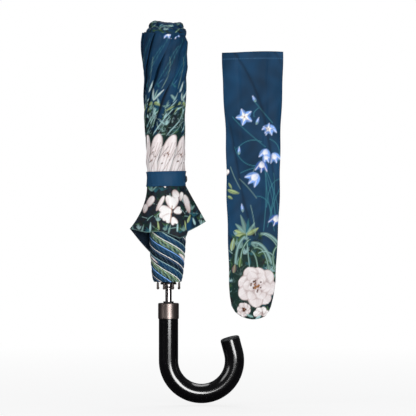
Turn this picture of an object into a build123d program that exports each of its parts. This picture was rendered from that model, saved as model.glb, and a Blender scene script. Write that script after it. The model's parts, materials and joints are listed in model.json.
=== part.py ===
from build123d import *
import math
import os

# A three-fold umbrella with a crook handle, folded and strapped, with its cloth sleeve beside it.
# Millimetres. +Z runs up the shaft from the handle to the crown, +X points to the crook's open side.
# The origin is on the shaft's axis, at the middle of the handle's straight grip.

# ---- handle ----
GRIP_R = 9.7
CROOK_R = 33.0  # centre-line radius of the crook
CROOK_TURN = 195.0  # degrees from the grip to the straight end
CROOK_END = 12.5  # straight run after the bend
BEND_Z = -21.5  # where the grip meets the crook's bend
GRIP_TOP = 20.0
SOCKET_DEPTH = 28.0  # how far the shaft runs down into the grip
COLLAR_R = 10.4
COLLAR_TOP = 36.0
COLLAR_CHAMFER = 0.7
WASHER_R = 5.2

# ---- telescopic shaft: outer radius, inner radius, lower end, upper end ----
INNER_TUBE = (3.2, 2.6, GRIP_TOP - SOCKET_DEPTH, 262.0)
MIDDLE_TUBE = (4.0, 3.3, 50.0, 272.0)
OUTER_TUBE = (4.9, 4.1, 53.0, 297.0)
BUSH_R = 5.6  # plastic mouth of the outer tube
WINDOW = (2.6, 3.2)  # width and height of the catch windows in the outer tube

# ---- rib folding: radii at rest and heights ----
RIBS = 8
FIRST_RIB = 22.5  # azimuth in degrees
CROWN_R = 9.0  # inner rib's pivot circle
CROWN_Z = 290.0
INNER_LENGTH = 140.0
LAP = 1.4  # from a knuckle's pin to the middle of each rib that it joins
ELBOW_TOP_Z = 311.0
TIP_Z = 51.0
TIP_R = 11.4
BEND_START_Z = 141.0  # below this the outer rib leans in towards the shaft
STAY_REACH = 100.0  # from the crown pivot to the stretcher's pin, along the inner rib
STAY_DROP = 2.2  # from the inner rib's middle to that pin
STAY_LENGTH = 120.0

# ---- rib sections ----
BAR_WIDE = 2.4
BAR_THICK = 1.4
TONGUE = 1.0
FORK_GAP = 1.2
KNUCKLE_R = 1.3
KNUCKLE_REACH = 1.9  # a bar starts this far along from the pin
PIN_R = 0.45
HOLE_R = 0.52
TIP_WIRE_R = 0.7
BEAD_R = 1.35
SHORT_TONGUE = 4.4  # tongue between a notched ring and its bar
BLADE = 28.0  # length of the stretcher's thin end and of the slot that it folds into
EYE_ROOM = 1.4  # half-height of the room that a slot leaves round an eye
SLOT = 30.0  # a slot is cut this far out and away, past the ring

# ---- runner ----
RUNNER_BORE = 5.05
RUNNER_R = 7.2
RUNNER_LOW = 54.6
CATCH_Z = 61.0  # pivot height of the thumb catch
CATCH_R = 6.4

# ---- cloth ----
CAVITY_R = 16.3  # room for the folded ribs inside the roll
WAIST_R = 16.9  # the roll under its strap
STRAP_LOW = 153.0
STRAP_HIGH = 167.0
STRAP_R = 18.0
STRAP_THICK = 0.7
STRIP_THICK = 0.3
STRIP_WIDE = 2.0

# ---- open pose, degrees that each rib turns from rest ----
INNER_SWING = 82.0
MIDDLE_SWING = 192.0
OUTER_SWING = 165.0

# ---- sleeve ----
SLEEVE_X = 84.0
SLEEVE_TOP = 287.0
SLEEVE_BOTTOM = 20.0
SLEEVE_GAP = 5.0
SLEEVE_CLOTH = 0.8
SEAM = 2.5

os.makedirs("parts", exist_ok=True)

stay_z = CROWN_Z - STAY_REACH
stay_r = CROWN_R - STAY_DROP
runner_z = stay_z - STAY_LENGTH
elbow_z = CROWN_Z - INNER_LENGTH
elbow_r = CROWN_R + LAP
middle_r = elbow_r + LAP
elbow_top_r = middle_r + LAP
outer_r = elbow_top_r + LAP


def save(shape, node, colour):
    """Writes one sub-part as parts/NODE.step."""
    if isinstance(shape, (list, ShapeList)):
        shape = Compound(children=list(shape))
    shape.label = node
    shape.color = Color(*colour)
    export_step(shape, f"parts/{node}.step")


def tube(outer, inner, low, high):
    """A round tube on the shaft's axis."""
    wall = Cylinder(outer, high - low) - Cylinder(inner, high - low + 1)
    return Pos(0, 0, (low + high) / 2) * wall


def revolved(points):
    """A solid of revolution from (radius, height) corners."""
    face = make_face(Polyline(*[(r, 0, z) for r, z in points], close=True))
    return revolve(face, Axis.Z, 360)


def slab(r_low, r_high, z_low, z_high, wide):
    """A box in the rib plane, wide across it."""
    centre = Pos((r_low + r_high) / 2, 0, (z_low + z_high) / 2)
    return centre * Box(r_high - r_low, wide, z_high - z_low)


def disc(r, z, radius, wide, side=0.0):
    """A round plate in the rib plane with its axis across it."""
    return Pos(r, side, z) * Rot(90, 0, 0) * Cylinder(radius, wide)


def link(start, end, half, wide, side=0.0):
    """A straight web in the rib plane between two (radius, height) points."""
    dr, dz = end[0] - start[0], end[1] - start[1]
    length = math.hypot(dr, dz)
    turn = math.degrees(math.atan2(dr, dz))
    middle = Pos((start[0] + end[0]) / 2, side, (start[1] + end[1]) / 2)
    return middle * Rot(0, turn, 0) * Box(2 * half, wide, length)


def tongue(pin, foot):
    """The single eye of a knuckle, with its web to the bar's foot and a running hole."""
    plate = disc(*pin, KNUCKLE_R, TONGUE) + link(pin, foot, BAR_THICK / 2, TONGUE)
    return plate - disc(*pin, HOLE_R, BAR_WIDE)


def fork(pin, foot):
    """The two cheeks of a knuckle, with the rivet through them."""
    cheek = (BAR_WIDE - FORK_GAP) / 2
    side = FORK_GAP / 2 + cheek / 2
    shape = disc(*pin, PIN_R, BAR_WIDE)
    for sign in (-1, 1):
        shape += disc(*pin, KNUCKLE_R, cheek, sign * side)
        shape += link(pin, foot, BAR_THICK / 2, cheek, sign * side)
    return shape


def inner_rib():
    """From the crown's wire to the lower knuckle, with the stretcher's ears and a slot for its blade."""
    half = BAR_THICK / 2
    top = CROWN_Z - SHORT_TONGUE
    foot = elbow_z + KNUCKLE_REACH
    bar = slab(CROWN_R - half, CROWN_R + half, foot, top, BAR_WIDE)
    eye = tongue((CROWN_R, CROWN_Z), (CROWN_R, top - 1))
    lower = fork((elbow_r, elbow_z), (CROWN_R, foot + 0.6))
    ears = fork((stay_r, stay_z), (CROWN_R - half + 0.2, stay_z))
    slot = slab(CROWN_R - 2, CROWN_R + 2, stay_z + PIN_R, stay_z + BLADE, FORK_GAP)
    return bar + eye + lower + ears - slot


def stretcher():
    """From the runner's wire to the inner rib's ears, ending in a blade that passes through its slot."""
    half = BAR_THICK / 2
    low = runner_z + SHORT_TONGUE
    high = stay_z - BLADE
    bar = slab(stay_r - half, stay_r + half, low, high, BAR_WIDE - 0.4)
    lower = tongue((stay_r, runner_z), (stay_r, low + 1))
    upper = tongue((stay_r, stay_z), (stay_r, high - 1))
    return bar + lower + upper


def middle_rib():
    """Folded up from the lower knuckle to the upper one."""
    half = BAR_THICK / 2
    low = elbow_z + KNUCKLE_REACH
    high = ELBOW_TOP_Z - KNUCKLE_REACH
    bar = slab(middle_r - half, middle_r + half, low, high, BAR_WIDE)
    lower = tongue((elbow_r, elbow_z), (middle_r, low + 0.6))
    upper = fork((elbow_top_r, ELBOW_TOP_Z), (middle_r, high - 0.6))
    return bar + lower + upper


def outer_rib():
    """Folded down from the upper knuckle, leaning in to the tip below BEND_START_Z."""
    half = BAR_THICK / 2
    high = ELBOW_TOP_Z - KNUCKLE_REACH
    bar = slab(outer_r - half, outer_r + half, BEND_START_Z, high, BAR_WIDE - 0.2)
    upper = tongue((elbow_top_r, ELBOW_TOP_Z), (outer_r, high - 0.6))
    start = Vector(outer_r, 0, BEND_START_Z + 1)
    end = Vector(TIP_R, 0, TIP_Z + BEAD_R)
    along = end - start
    wire = Cylinder(TIP_WIRE_R, along.length)
    wire = Plane(origin=(start + end) / 2, z_dir=along) * wire
    return bar + upper + wire


def rib_tip():
    """The metal bead and its ferrule on the end of the outer rib."""
    bead = Pos(TIP_R, 0, TIP_Z) * Sphere(BEAD_R)
    neck_z = TIP_Z + BEAD_R + 1.4
    neck = Pos(TIP_R + 0.15, 0, neck_z) * Cylinder(TIP_WIRE_R + 0.35, 4.4)
    return bead + neck


def notched_ring(profile, pin_r, pin_z, way):
    """A turned ring with a wire groove and a slot for each rib, open upwards (way 1) or downwards (-1)."""
    ring = revolved(profile)
    out = pin_r - EYE_ROOM + SLOT / 2
    up = pin_z + way * (SLOT / 2 - EYE_ROOM)
    slots = []
    for k in range(RIBS):
        box = Pos(out, 0, up) * Box(SLOT, FORK_GAP + 0.2, SLOT)
        slots.append(Rot(0, 0, FIRST_RIB + 360 / RIBS * k) * box)
    ring -= slots
    return ring - Pos(0, 0, pin_z) * Torus(pin_r, PIN_R + 0.03)


def handle():
    """The crook: one round bar that runs down, round and up again, with a socket for the shaft."""
    path = Line((0, 0, GRIP_TOP), (0, 0, BEND_Z))
    on_bend = []
    for turn in (math.radians(CROOK_TURN / 2), math.radians(CROOK_TURN)):
        on_bend.append((CROOK_R * (1 - math.cos(turn)), 0, BEND_Z - CROOK_R * math.sin(turn)))
    bend = ThreePointArc((0, 0, BEND_Z), *on_bend)
    direction = bend % 1
    tail = Line(bend @ 1, bend @ 1 + direction * CROOK_END)
    bar = sweep(Plane.XY.offset(GRIP_TOP) * Circle(GRIP_R), path=path + bend + tail)
    socket_middle = GRIP_TOP - SOCKET_DEPTH / 2
    bar -= Pos(0, 0, socket_middle) * Cylinder(INNER_TUBE[0], SOCKET_DEPTH + 0.001)
    return bar, tail @ 1, direction


def end_cap(at, direction):
    """The domed disc that closes the crook's free end."""
    face = Plane(origin=at, z_dir=direction)
    disc_ = extrude(face * Circle(GRIP_R), 1.6)
    rim = disc_.edges().sort_by(lambda e: (e.center() - at).dot(direction))[-1]
    return fillet(rim, 1.2)


# ================= handle and shaft =================
BLACK = (0.05, 0.05, 0.05)
STEEL = (0.75, 0.75, 0.77)
NICKEL = (0.62, 0.57, 0.54)
NAVY = (0.07, 0.17, 0.30)

crook, crook_tip, crook_way = handle()
save(crook, "crook_handle", BLACK)
save(end_cap(crook_tip, crook_way), "handle_end_cap", BLACK)

collar = tube(COLLAR_R, INNER_TUBE[0], GRIP_TOP, COLLAR_TOP)
rims = collar.edges().filter_by(GeomType.CIRCLE).group_by(Axis.Z)
collar = chamfer([rims[0].sort_by(SortBy.RADIUS)[-1], rims[-1].sort_by(SortBy.RADIUS)[-1]], COLLAR_CHAMFER)
save(collar, "handle_collar", NICKEL)
save(tube(WASHER_R, INNER_TUBE[0], COLLAR_TOP, COLLAR_TOP + 1.6), "shaft_washer", BLACK)
save(tube(*INNER_TUBE), "shaft_inner_tube", STEEL)
lock_pin = Pos(0, 0, GRIP_TOP - 10) * Rot(90, 0, 0) * Cylinder(1.0, 2 * INNER_TUBE[1] - 0.6)
save(lock_pin, "handle_lock_pin", STEEL)

save(tube(*MIDDLE_TUBE), "shaft_middle_tube", STEEL)

outer_tube = tube(*OUTER_TUBE)
swing = math.radians(INNER_SWING)
open_pin_r = CROWN_R + STAY_REACH * math.sin(swing) - STAY_DROP * math.cos(swing)
open_pin_z = CROWN_Z - STAY_REACH * math.cos(swing) - STAY_DROP * math.sin(swing)
open_runner_z = open_pin_z - math.sqrt(STAY_LENGTH**2 - (open_pin_r - stay_r) ** 2)
runner_travel = open_runner_z - runner_z
tooth_z = CATCH_Z - 3.6
for window_z in (tooth_z, tooth_z + runner_travel):
    outer_tube -= Pos(OUTER_TUBE[0], 0, window_z) * Box(1.5, *WINDOW)
save(outer_tube, "shaft_outer_tube", STEEL)
save(tube(BUSH_R - 0.65, MIDDLE_TUBE[0] + 0.1, 51.2, OUTER_TUBE[2]), "outer_tube_mouth_ring", BLACK)

# ================= crown =================
crown_profile = [(OUTER_TUBE[0], 286), (10.4, 286), (10.4, 293.5), (OUTER_TUBE[0], 293.5)]
crown = notched_ring(crown_profile, CROWN_R, CROWN_Z, -1)
save(crown, "crown_notch", BLACK)
save(Pos(0, 0, CROWN_Z) * Torus(CROWN_R, PIN_R), "crown_wire", STEEL)
cap_profile = [(0, 297), (OUTER_TUBE[0], 297), (OUTER_TUBE[0], 293.5), (8.4, 293.5), (8.4, 294.7)]
cap_profile += [(7.6, 296.5), (6.2, 299.5), (4.4, 301), (0, 301)]
save(revolved(cap_profile), "top_cap", BLACK)

# ================= runner =================
runner_profile = [
    (RUNNER_BORE, RUNNER_LOW),
    (8.0, RUNNER_LOW),
    (8.0, RUNNER_LOW + 1.6),
    (RUNNER_R, RUNNER_LOW + 2.4),
    (RUNNER_R, runner_z - 3.5),
    (8.4, runner_z - 3.5),
    (8.4, runner_z + 3.5),
    (RUNNER_BORE, runner_z + 3.5),
]
runner = notched_ring(runner_profile, stay_r, runner_z, 1)
runner -= Pos(RUNNER_R, 0, CATCH_Z) * Box(5, 3.4, 11)
runner -= disc(CATCH_R, CATCH_Z, HOLE_R, 4.8)
save(runner, "runner", BLACK)
save(Pos(0, 0, runner_z) * Torus(stay_r, PIN_R), "runner_wire", STEEL)
pad = slab(6.7, 8.3, CATCH_Z, CATCH_Z + 5, 2.8)
lever = slab(5.7, 7.1, CATCH_Z - 4.6, CATCH_Z + 0.5, 2.8)
tooth = slab(4.5, 6.0, tooth_z - 1.0, tooth_z + 1.0, 2.2)
catch_pin = disc(CATCH_R, CATCH_Z, PIN_R, 4.6)
save(pad + lever + tooth + catch_pin, "runner_catch", BLACK)

# ================= ribs =================
for k in range(RIBS):
    around = Rot(0, 0, FIRST_RIB + 360 / RIBS * k)
    save(around * inner_rib(), f"inner_rib_{k + 1}", BLACK)
    save(around * stretcher(), f"stretcher_{k + 1}", BLACK)
    save(around * middle_rib(), f"middle_rib_{k + 1}", BLACK)
    save([around * (outer_rib() - rib_tip()), around * rib_tip()], f"outer_rib_{k + 1}", BLACK)


# ================= cloth =================
def canopy():
    """The rolled canopy as one hollow cover with its two loose corners."""
    outside = [(15.4, 57), (15.8, 80), (16.8, 97), (18.6, 118), (18.6, 140)]
    outside += [(WAIST_R, STRAP_LOW - 1), (WAIST_R, STRAP_HIGH + 1)]
    outside += [(19.4, 180), (20.4, 205), (21.6, 240), (22.4, 280)]
    outside += [(22.0, 303), (19.5, 311), (15.5, 316.5), (11.0, 316.5)]
    inside = [(11.0, 313.2), (CAVITY_R, 313.2), (CAVITY_R, 145), (13.6, 57)]
    cover = revolved(outside + inside)
    cavity = revolved([(0, 40), (13.6, 40)] + inside[::-1][:3] + [(0, 313.2)])
    for side, tip_x, tip_z in ((-1, 38.0, 112.0), (1, 36.0, 117.0)):
        corner = [(side * 12, 0, 138), (side * tip_x, 0, tip_z), (side * 12, 0, 92)]
        flap = extrude(make_face(Polyline(*corner, close=True)), 1.5, both=True)
        cover += flap - cavity
    return cover


save(canopy(), "canopy", NAVY)
save(tube(STRAP_R, STRAP_R - STRAP_THICK, STRAP_LOW, STRAP_HIGH), "strap_band", NAVY)

tab = tube(STRAP_R + 0.9, STRAP_R + 0.2, STRAP_LOW + 0.3, STRAP_HIGH - 0.3)
wedge = extrude(make_face(Polyline((0, 0), (60, 16), (16, 60), close=True)), 400)
save(tab & wedge, "strap_tab", NAVY)
stud_at = Rot(0, 0, 28) * Pos(STRAP_R + 1.5, 0, (STRAP_LOW + STRAP_HIGH) / 2) * Rot(0, 90, 0)
save(stud_at * Cylinder(3.6, 1.2), "strap_snap_cap", STEEL)


def gore_strip(ring):
    """A narrow folded strip of cloth that lies along one fold of a rib and spreads with it."""
    if ring == "top":
        r, low, high = CROWN_R + BAR_THICK / 2 + 0.15, elbow_z + 3, CROWN_Z - 6
    elif ring == "mid":
        r, low, high = middle_r - BAR_THICK / 2 - 0.15 - STRIP_THICK, elbow_z + 3, ELBOW_TOP_Z - 3
    else:
        r, low, high = outer_r + BAR_THICK / 2 + 0.15, BEND_START_Z, ELBOW_TOP_Z - 3
    return slab(r, r + STRIP_THICK, low, high, STRIP_WIDE)


FANS = (("a", 0), ("b", 4))  # each run of four panels spreads from one rib
for ring in ("top", "mid", "edge"):
    for letter, rib in FANS:
        around = Rot(0, 0, FIRST_RIB + 360 / RIBS * rib)
        save(around * gore_strip(ring), f"canopy_{ring}_panels_{letter}", NAVY)


# ================= sleeve =================
def sleeve_outline(inset):
    """The flat outline of the sleeve: a wide straight mouth and a rounded foot."""
    top, low = SLEEVE_TOP, SLEEVE_BOTTOM + inset
    left = [(-30.5 + inset, top), (-25.0 + inset, top - 110), (-24.0 + inset, 75), (-21.5 + inset, 35)]
    right = [(21.0 - inset, 36), (24.5 - inset, 75), (27.5 - inset, top - 110), (30.5 - inset, top)]
    foot = ThreePointArc((-21.5 + inset, 35), (0.5, low), (21.0 - inset, 36))
    edges = Polyline(*left) + foot + Polyline(*right) + Line(right[-1], left[0])
    return make_face(Plane.XZ * edges)


def sleeve_sheet(near, far, inset=0.0):
    """The outline between two planes across Y."""
    sheet = extrude(sleeve_outline(inset), far - near)
    box = sheet.bounding_box()
    return Pos(SLEEVE_X, near - box.min.Y, 0) * sheet


half_gap = SLEEVE_GAP / 2
save(sleeve_sheet(-half_gap - SLEEVE_CLOTH, -half_gap), "sleeve_front_panel", NAVY)
save(sleeve_sheet(half_gap, half_gap + SLEEVE_CLOTH), "sleeve_back_panel", NAVY)
seam = sleeve_sheet(-half_gap, half_gap) - Pos(0, 0, SEAM) * sleeve_sheet(-half_gap - 1, half_gap + 1, SEAM)
seam -= Pos(SLEEVE_X, 0, SLEEVE_TOP) * Box(80, 20, 2 * SEAM + 1)
seam = seam.solids().sort_by(SortBy.VOLUME)[-1]
save(seam, "sleeve_side_seam", NAVY)
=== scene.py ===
"""A rolled three-fold umbrella with a crook handle and its loose sleeve: cloth, print and finishes.

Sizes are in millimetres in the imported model's frame, with +Z up the shaft. Meshes are made in metres.
"""

import json
import logging
import math
from collections.abc import Callable
from dataclasses import dataclass, field
from enum import Enum

import bpy
import numpy as np
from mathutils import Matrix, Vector

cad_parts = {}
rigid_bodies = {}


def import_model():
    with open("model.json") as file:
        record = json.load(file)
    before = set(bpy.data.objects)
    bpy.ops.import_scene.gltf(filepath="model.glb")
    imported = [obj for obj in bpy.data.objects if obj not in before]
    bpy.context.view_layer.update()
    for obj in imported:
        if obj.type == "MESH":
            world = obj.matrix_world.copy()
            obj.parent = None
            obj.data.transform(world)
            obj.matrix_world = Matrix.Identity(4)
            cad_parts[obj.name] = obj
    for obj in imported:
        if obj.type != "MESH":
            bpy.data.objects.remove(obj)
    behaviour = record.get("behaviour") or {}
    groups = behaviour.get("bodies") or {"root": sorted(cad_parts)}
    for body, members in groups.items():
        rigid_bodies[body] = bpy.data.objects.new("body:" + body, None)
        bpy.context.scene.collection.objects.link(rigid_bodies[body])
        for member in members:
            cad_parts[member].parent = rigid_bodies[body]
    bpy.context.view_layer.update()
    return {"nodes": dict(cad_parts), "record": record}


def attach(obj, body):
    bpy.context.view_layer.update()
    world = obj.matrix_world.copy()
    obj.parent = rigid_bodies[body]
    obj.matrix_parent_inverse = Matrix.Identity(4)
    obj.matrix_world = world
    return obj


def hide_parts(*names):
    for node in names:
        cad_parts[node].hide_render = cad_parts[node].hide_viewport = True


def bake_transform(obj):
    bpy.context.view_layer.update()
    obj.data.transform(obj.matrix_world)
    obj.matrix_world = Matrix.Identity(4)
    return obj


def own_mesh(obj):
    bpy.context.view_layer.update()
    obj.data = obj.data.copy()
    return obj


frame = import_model()

Array = np.ndarray
Colour = tuple[float, float, float, float]
Point = tuple[float, float]
Place = tuple[float, float, float]
Tree = bpy.types.NodeTree
Node = bpy.types.Node
Socket = bpy.types.NodeSocket
Material = bpy.types.Material
Object = bpy.types.Object
MM = 0.001
log = logging.getLogger("umbrella")


# ================= colours and nodes =================
def linear(code: str) -> Colour:
    """Turns an sRGB hex colour, "#rrggbb", into linear red, green, blue and an alpha of 1."""
    channels = [int(code[i : i + 2], 16) / 255 for i in (1, 3, 5)]
    return (*[c / 12.92 if c <= 0.04045 else ((c + 0.055) / 1.055) ** 2.4 for c in channels], 1.0)


def ink(code: str) -> Array:
    """The linear red, green and blue of an sRGB hex colour."""
    return np.array(linear(code)[:3])


def add(tree: Tree, kind: str, settings: dict | None = None, links: dict | None = None) -> Node:
    """Adds one shader node with its settings and links.

    Args:
        tree: the material's node tree.
        kind: the node's type without its ShaderNode prefix.
        settings: values by property name, input name or input number.
        links: source sockets by input name or number.

    Returns:
        The new node.
    """
    node = tree.nodes.new("ShaderNode" + kind)
    for name, value in (settings or {}).items():
        if isinstance(name, str) and hasattr(node, name):
            setattr(node, name, value)
        else:
            node.inputs[name].default_value = value
    for name, socket in (links or {}).items():
        tree.links.new(socket, node.inputs[name])
    return node


def new_material(name: str, sockets: dict) -> tuple[Material, Tree, Node]:
    """Makes a material with constants on its shader's own sockets.

    Args:
        name: the material's name.
        sockets: values by socket name.

    Returns:
        The material, its node tree and its shader.
    """
    made = bpy.data.materials.new(name)
    made.use_nodes = True
    shader = made.node_tree.nodes["Principled BSDF"]
    for socket, value in sockets.items():
        shader.inputs[socket].default_value = value
    return made, made.node_tree, shader


def smoothstep(low: float, high: float, value: Array) -> Array:
    """Rises smoothly from 0 at low to 1 at high."""
    t = np.clip((value - low) / (high - low), 0, 1)
    return t * t * (3 - 2 * t)


def hump(value: Array, at: float, width: float) -> Array:
    """A soft bump of height 1 where the value is at the given one."""
    return np.exp(-(((value - at) / width) ** 2))


def smooth(values: Array, times: int) -> None:
    """Evens out a row of values in place, keeping its ends."""
    for _ in range(times):
        values[1:-1] = (values[:-2] + 2 * values[1:-1] + values[2:]) / 4


def grid(*parts: Array) -> Array:
    """Joins coordinates that vary by row or by column into one grid, with a last axis for the coordinates."""
    return np.stack(np.broadcast_arrays(*parts), axis=-1)


def around_ring(count: int) -> Array:
    """Evenly spaced angles all the way round, in radians."""
    return np.linspace(0, 2 * math.pi, count, endpoint=False)


def span(outline: tuple[Place, ...], z: Array) -> tuple[Array, Array]:
    """The middle in X and the half-width at each height, from rows of (height, left edge, right edge)."""
    table = np.array(outline)[::-1]
    left, right = (np.interp(z, table[:, 0], table[:, k]) for k in (1, 2))
    return (left + right) / 2, (right - left) / 2


# ================= finishes =================
@dataclass(frozen=True)
class Finish:
    """One surface finish, with its plain colour and gloss; subclasses add the real surface's pattern."""

    name: str
    base: str
    roughness: float
    metallic: float = 0.0

    def material(self) -> Material:
        """Makes the material: a shader with its constants, then the pattern."""
        colour = {"Base Color": linear(self.base), "Roughness": self.roughness, "Metallic": self.metallic}
        made, tree, shader = new_material(self.name, {**colour, **self.constants()})
        self.pattern(tree, shader)
        return made

    def constants(self) -> dict[str, float]:
        """The shader's other constants, by socket name."""
        return {}

    def pattern(self, tree: Tree, shader: Node) -> None:
        """Adds the finish's own nodes."""

    def relief(self, tree: Tree, shader: Node, height: Socket, depth_mm: float) -> None:
        """Turns a height of 0 to 1 into bump of a real depth."""
        bump = add(tree, "Bump", {"Strength": 0.7, "Distance": depth_mm * MM}, {"Height": height})
        tree.links.new(bump.outputs["Normal"], shader.inputs["Normal"])

    def gloss(self, tree: Tree, shader: Node, noise: Socket, down: float, up: float) -> None:
        """Lets the roughness change with a noise, from down below its value to up above it."""
        limits = {"To Min": self.roughness - down, "To Max": self.roughness + up}
        changed = add(tree, "MapRange", limits, {"Value": noise})
        tree.links.new(changed.outputs["Result"], shader.inputs["Roughness"])

    def tone(self, tree: Tree, shader: Node, second: Colour, share: Socket) -> None:
        """Mixes a second colour into the base by a share of 0 to 1."""
        mixed = add(tree, "MixRGB", {"Color1": linear(self.base), "Color2": second}, {"Fac": share})
        tree.links.new(mixed.outputs["Color"], shader.inputs["Base Color"])

    def mottle(self, tree: Tree, size_mm: float, stretch: Place = (1, 1, 1)) -> Socket:
        """Noise of a real size in the piece's own coordinates.

        Args:
            tree: the node tree.
            size_mm: the size of one patch.
            stretch: how much finer the noise is along X, Y and Z.

        Returns:
            The noise socket, 0 to 1.
        """
        place = add(tree, "TexCoord")
        scaled = add(tree, "Mapping", {"Scale": stretch}, {"Vector": place.outputs["Object"]})
        settings = {"Scale": 1 / (size_mm * MM), "Detail": 4.0}
        return add(tree, "TexNoise", settings, {"Vector": scaled.outputs["Vector"]}).outputs["Fac"]


@dataclass(frozen=True)
class GlossLacquer(Finish):
    """Sprayed and polished lacquer over turned beech: deep, with a faint orange peel and haze from hands."""

    def constants(self) -> dict[str, float]:
        """A clear coat, for the depth of polished lacquer."""
        return {"Specular IOR Level": 0.5, "Coat Weight": 1.0, "Coat Roughness": 0.1}

    def pattern(self, tree: Tree, shader: Node) -> None:
        """Orange peel 2.5 mm across, and gloss that changes over 12 mm."""
        self.gloss(tree, shader, self.mottle(tree, 12), 0.04, 0.05)
        self.relief(tree, shader, self.mottle(tree, 2.5), 0.006)


@dataclass(frozen=True)
class LinedMetal(Finish):
    """Plated metal with fine lines, brushed round the shaft or drawn along it."""

    along: bool = False

    def pattern(self, tree: Tree, shader: Node) -> None:
        """Lines about 0.15 mm wide, drawn at 0.3 mm so that they show, with soft tarnish over 9 mm."""
        lines = self.mottle(tree, 0.3, (1, 1, 0.02) if self.along else (0.06, 0.06, 1))
        self.gloss(tree, shader, lines, 0.08, 0.12)
        dull = [channel * 0.72 for channel in linear(self.base)[:3]]
        self.tone(tree, shader, (*dull, 1), self.mottle(tree, 9))
        self.relief(tree, shader, lines, 0.012)


@dataclass(frozen=True)
class MouldedPlastic(Finish):
    """Moulded ABS with a spark-eroded grain of about 0.4 mm, which gives a dry, even sheen."""

    def pattern(self, tree: Tree, shader: Node) -> None:
        """The mould's grain, and slight polish where parts rub."""
        self.gloss(tree, shader, self.mottle(tree, 5), 0.1, 0.08)
        self.relief(tree, shader, self.mottle(tree, 0.4), 0.03)


@dataclass(frozen=True)
class CoatedSteel(Finish):
    """Rolled steel rib with a thin dark coat; below tip_z the ends are bare nickel plate.

    The change of colour follows the piece's own height, so that it stays with the rib.
    """

    tip: str = "#5a5350"
    tip_z: float = 56.0

    def pattern(self, tree: Tree, shader: Node) -> None:
        """Coat and bare tip, with mottling over 3 mm."""
        height = add(tree, "SeparateXYZ", {}, {"Vector": add(tree, "TexCoord").outputs["Object"]})
        low = {"operation": "LESS_THAN", 1: self.tip_z * MM}
        bare = add(tree, "Math", low, {0: height.outputs["Z"]})
        self.tone(tree, shader, linear(self.tip), bare.outputs["Value"])
        self.gloss(tree, shader, self.mottle(tree, 3), 0.1, 0.1)
        self.relief(tree, shader, self.mottle(tree, 0.8), 0.015)


@dataclass(frozen=True)
class Pongee(Finish):
    """Plain-woven polyester pongee with a satin face.

    The thread spacing is about 0.15 mm; it is drawn at 0.5 mm so that it shows.
    """

    printed: bool = True
    thread_mm: float = 0.5

    def constants(self) -> dict[str, float]:
        """A low gloss with a trace of sheen, so that the cloth stays deep in colour."""
        return {"Sheen Weight": 0.02, "Sheen Roughness": 0.4, "Specular IOR Level": 0.14}

    def pattern(self, tree: Tree, shader: Node) -> None:
        """Print, thread relief and slubs."""
        place = add(tree, "UVMap", {"uv_map": "UVMap"}).outputs["UV"]
        threads = {"Scale": 2 * math.pi / (20 * self.thread_mm * MM), "Distortion": 0.4}
        warp, weft = (
            add(tree, "TexWave", {"bands_direction": way, **threads}, {"Vector": place}).outputs["Fac"]
            for way in "XY"
        )
        weave = add(tree, "Math", {"operation": "MULTIPLY"}, {0: warp, 1: weft}).outputs["Value"]
        if self.printed:
            source = add(tree, "Attribute", {"attribute_name": "print"}).outputs["Color"]
        else:
            source = add(tree, "RGB").outputs["Color"]
            source.default_value = linear(self.base)
        # painted shade and highlight of the thread relief: darker between the threads, lighter on their
        # crowns
        shade = add(tree, "MapRange", {"To Min": 0.8, "To Max": 1.12}, {"Value": weave})
        links = {0: source, "Scale": shade.outputs["Result"]}
        woven = add(tree, "VectorMath", {"operation": "SCALE"}, links)
        tree.links.new(woven.outputs["Vector"], shader.inputs["Base Color"])
        self.gloss(tree, shader, self.mottle(tree, 7), 0.07, 0.1)
        links = {0: self.mottle(tree, 4), 2: weave}
        crumple = add(tree, "Math", {"operation": "MULTIPLY_ADD", 1: 2.2}, links)
        self.relief(tree, shader, crumple.outputs["Value"], 0.09)


# ================= printed cloth =================
NAVY = ink("#0f3b5c")
DEEP = ink("#0c2438")
SKY = ink("#3a668c")
TEAL = ink("#2c6a78")
PALE_TEAL = ink("#a8cfd0")
PINE = ink("#1d4038")
MOSS = ink("#45683f")
LIME = ink("#a5b981")
SAGE = ink("#7ba09a")
OLIVE_BLACK = ink("#25282a")
BLUSH = ink("#f8f1f1")
MAUVE = ink("#b0938f")
WHITE = ink("#fbf9f8")
BROWN = ink("#5a3424")
AMBER = ink("#a06a3a")
BELL = ink("#78a4ea")
BELL_DEEP = ink("#3c67b4")
BACK = 100.0  # where the middle of a piece's back lies on its flat cloth, with the front's middle at 0


def each(motif: Callable[..., None], *rows: tuple) -> None:
    """Draws one motif for each row of its settings."""
    for row in rows:
        motif(*row)


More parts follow.
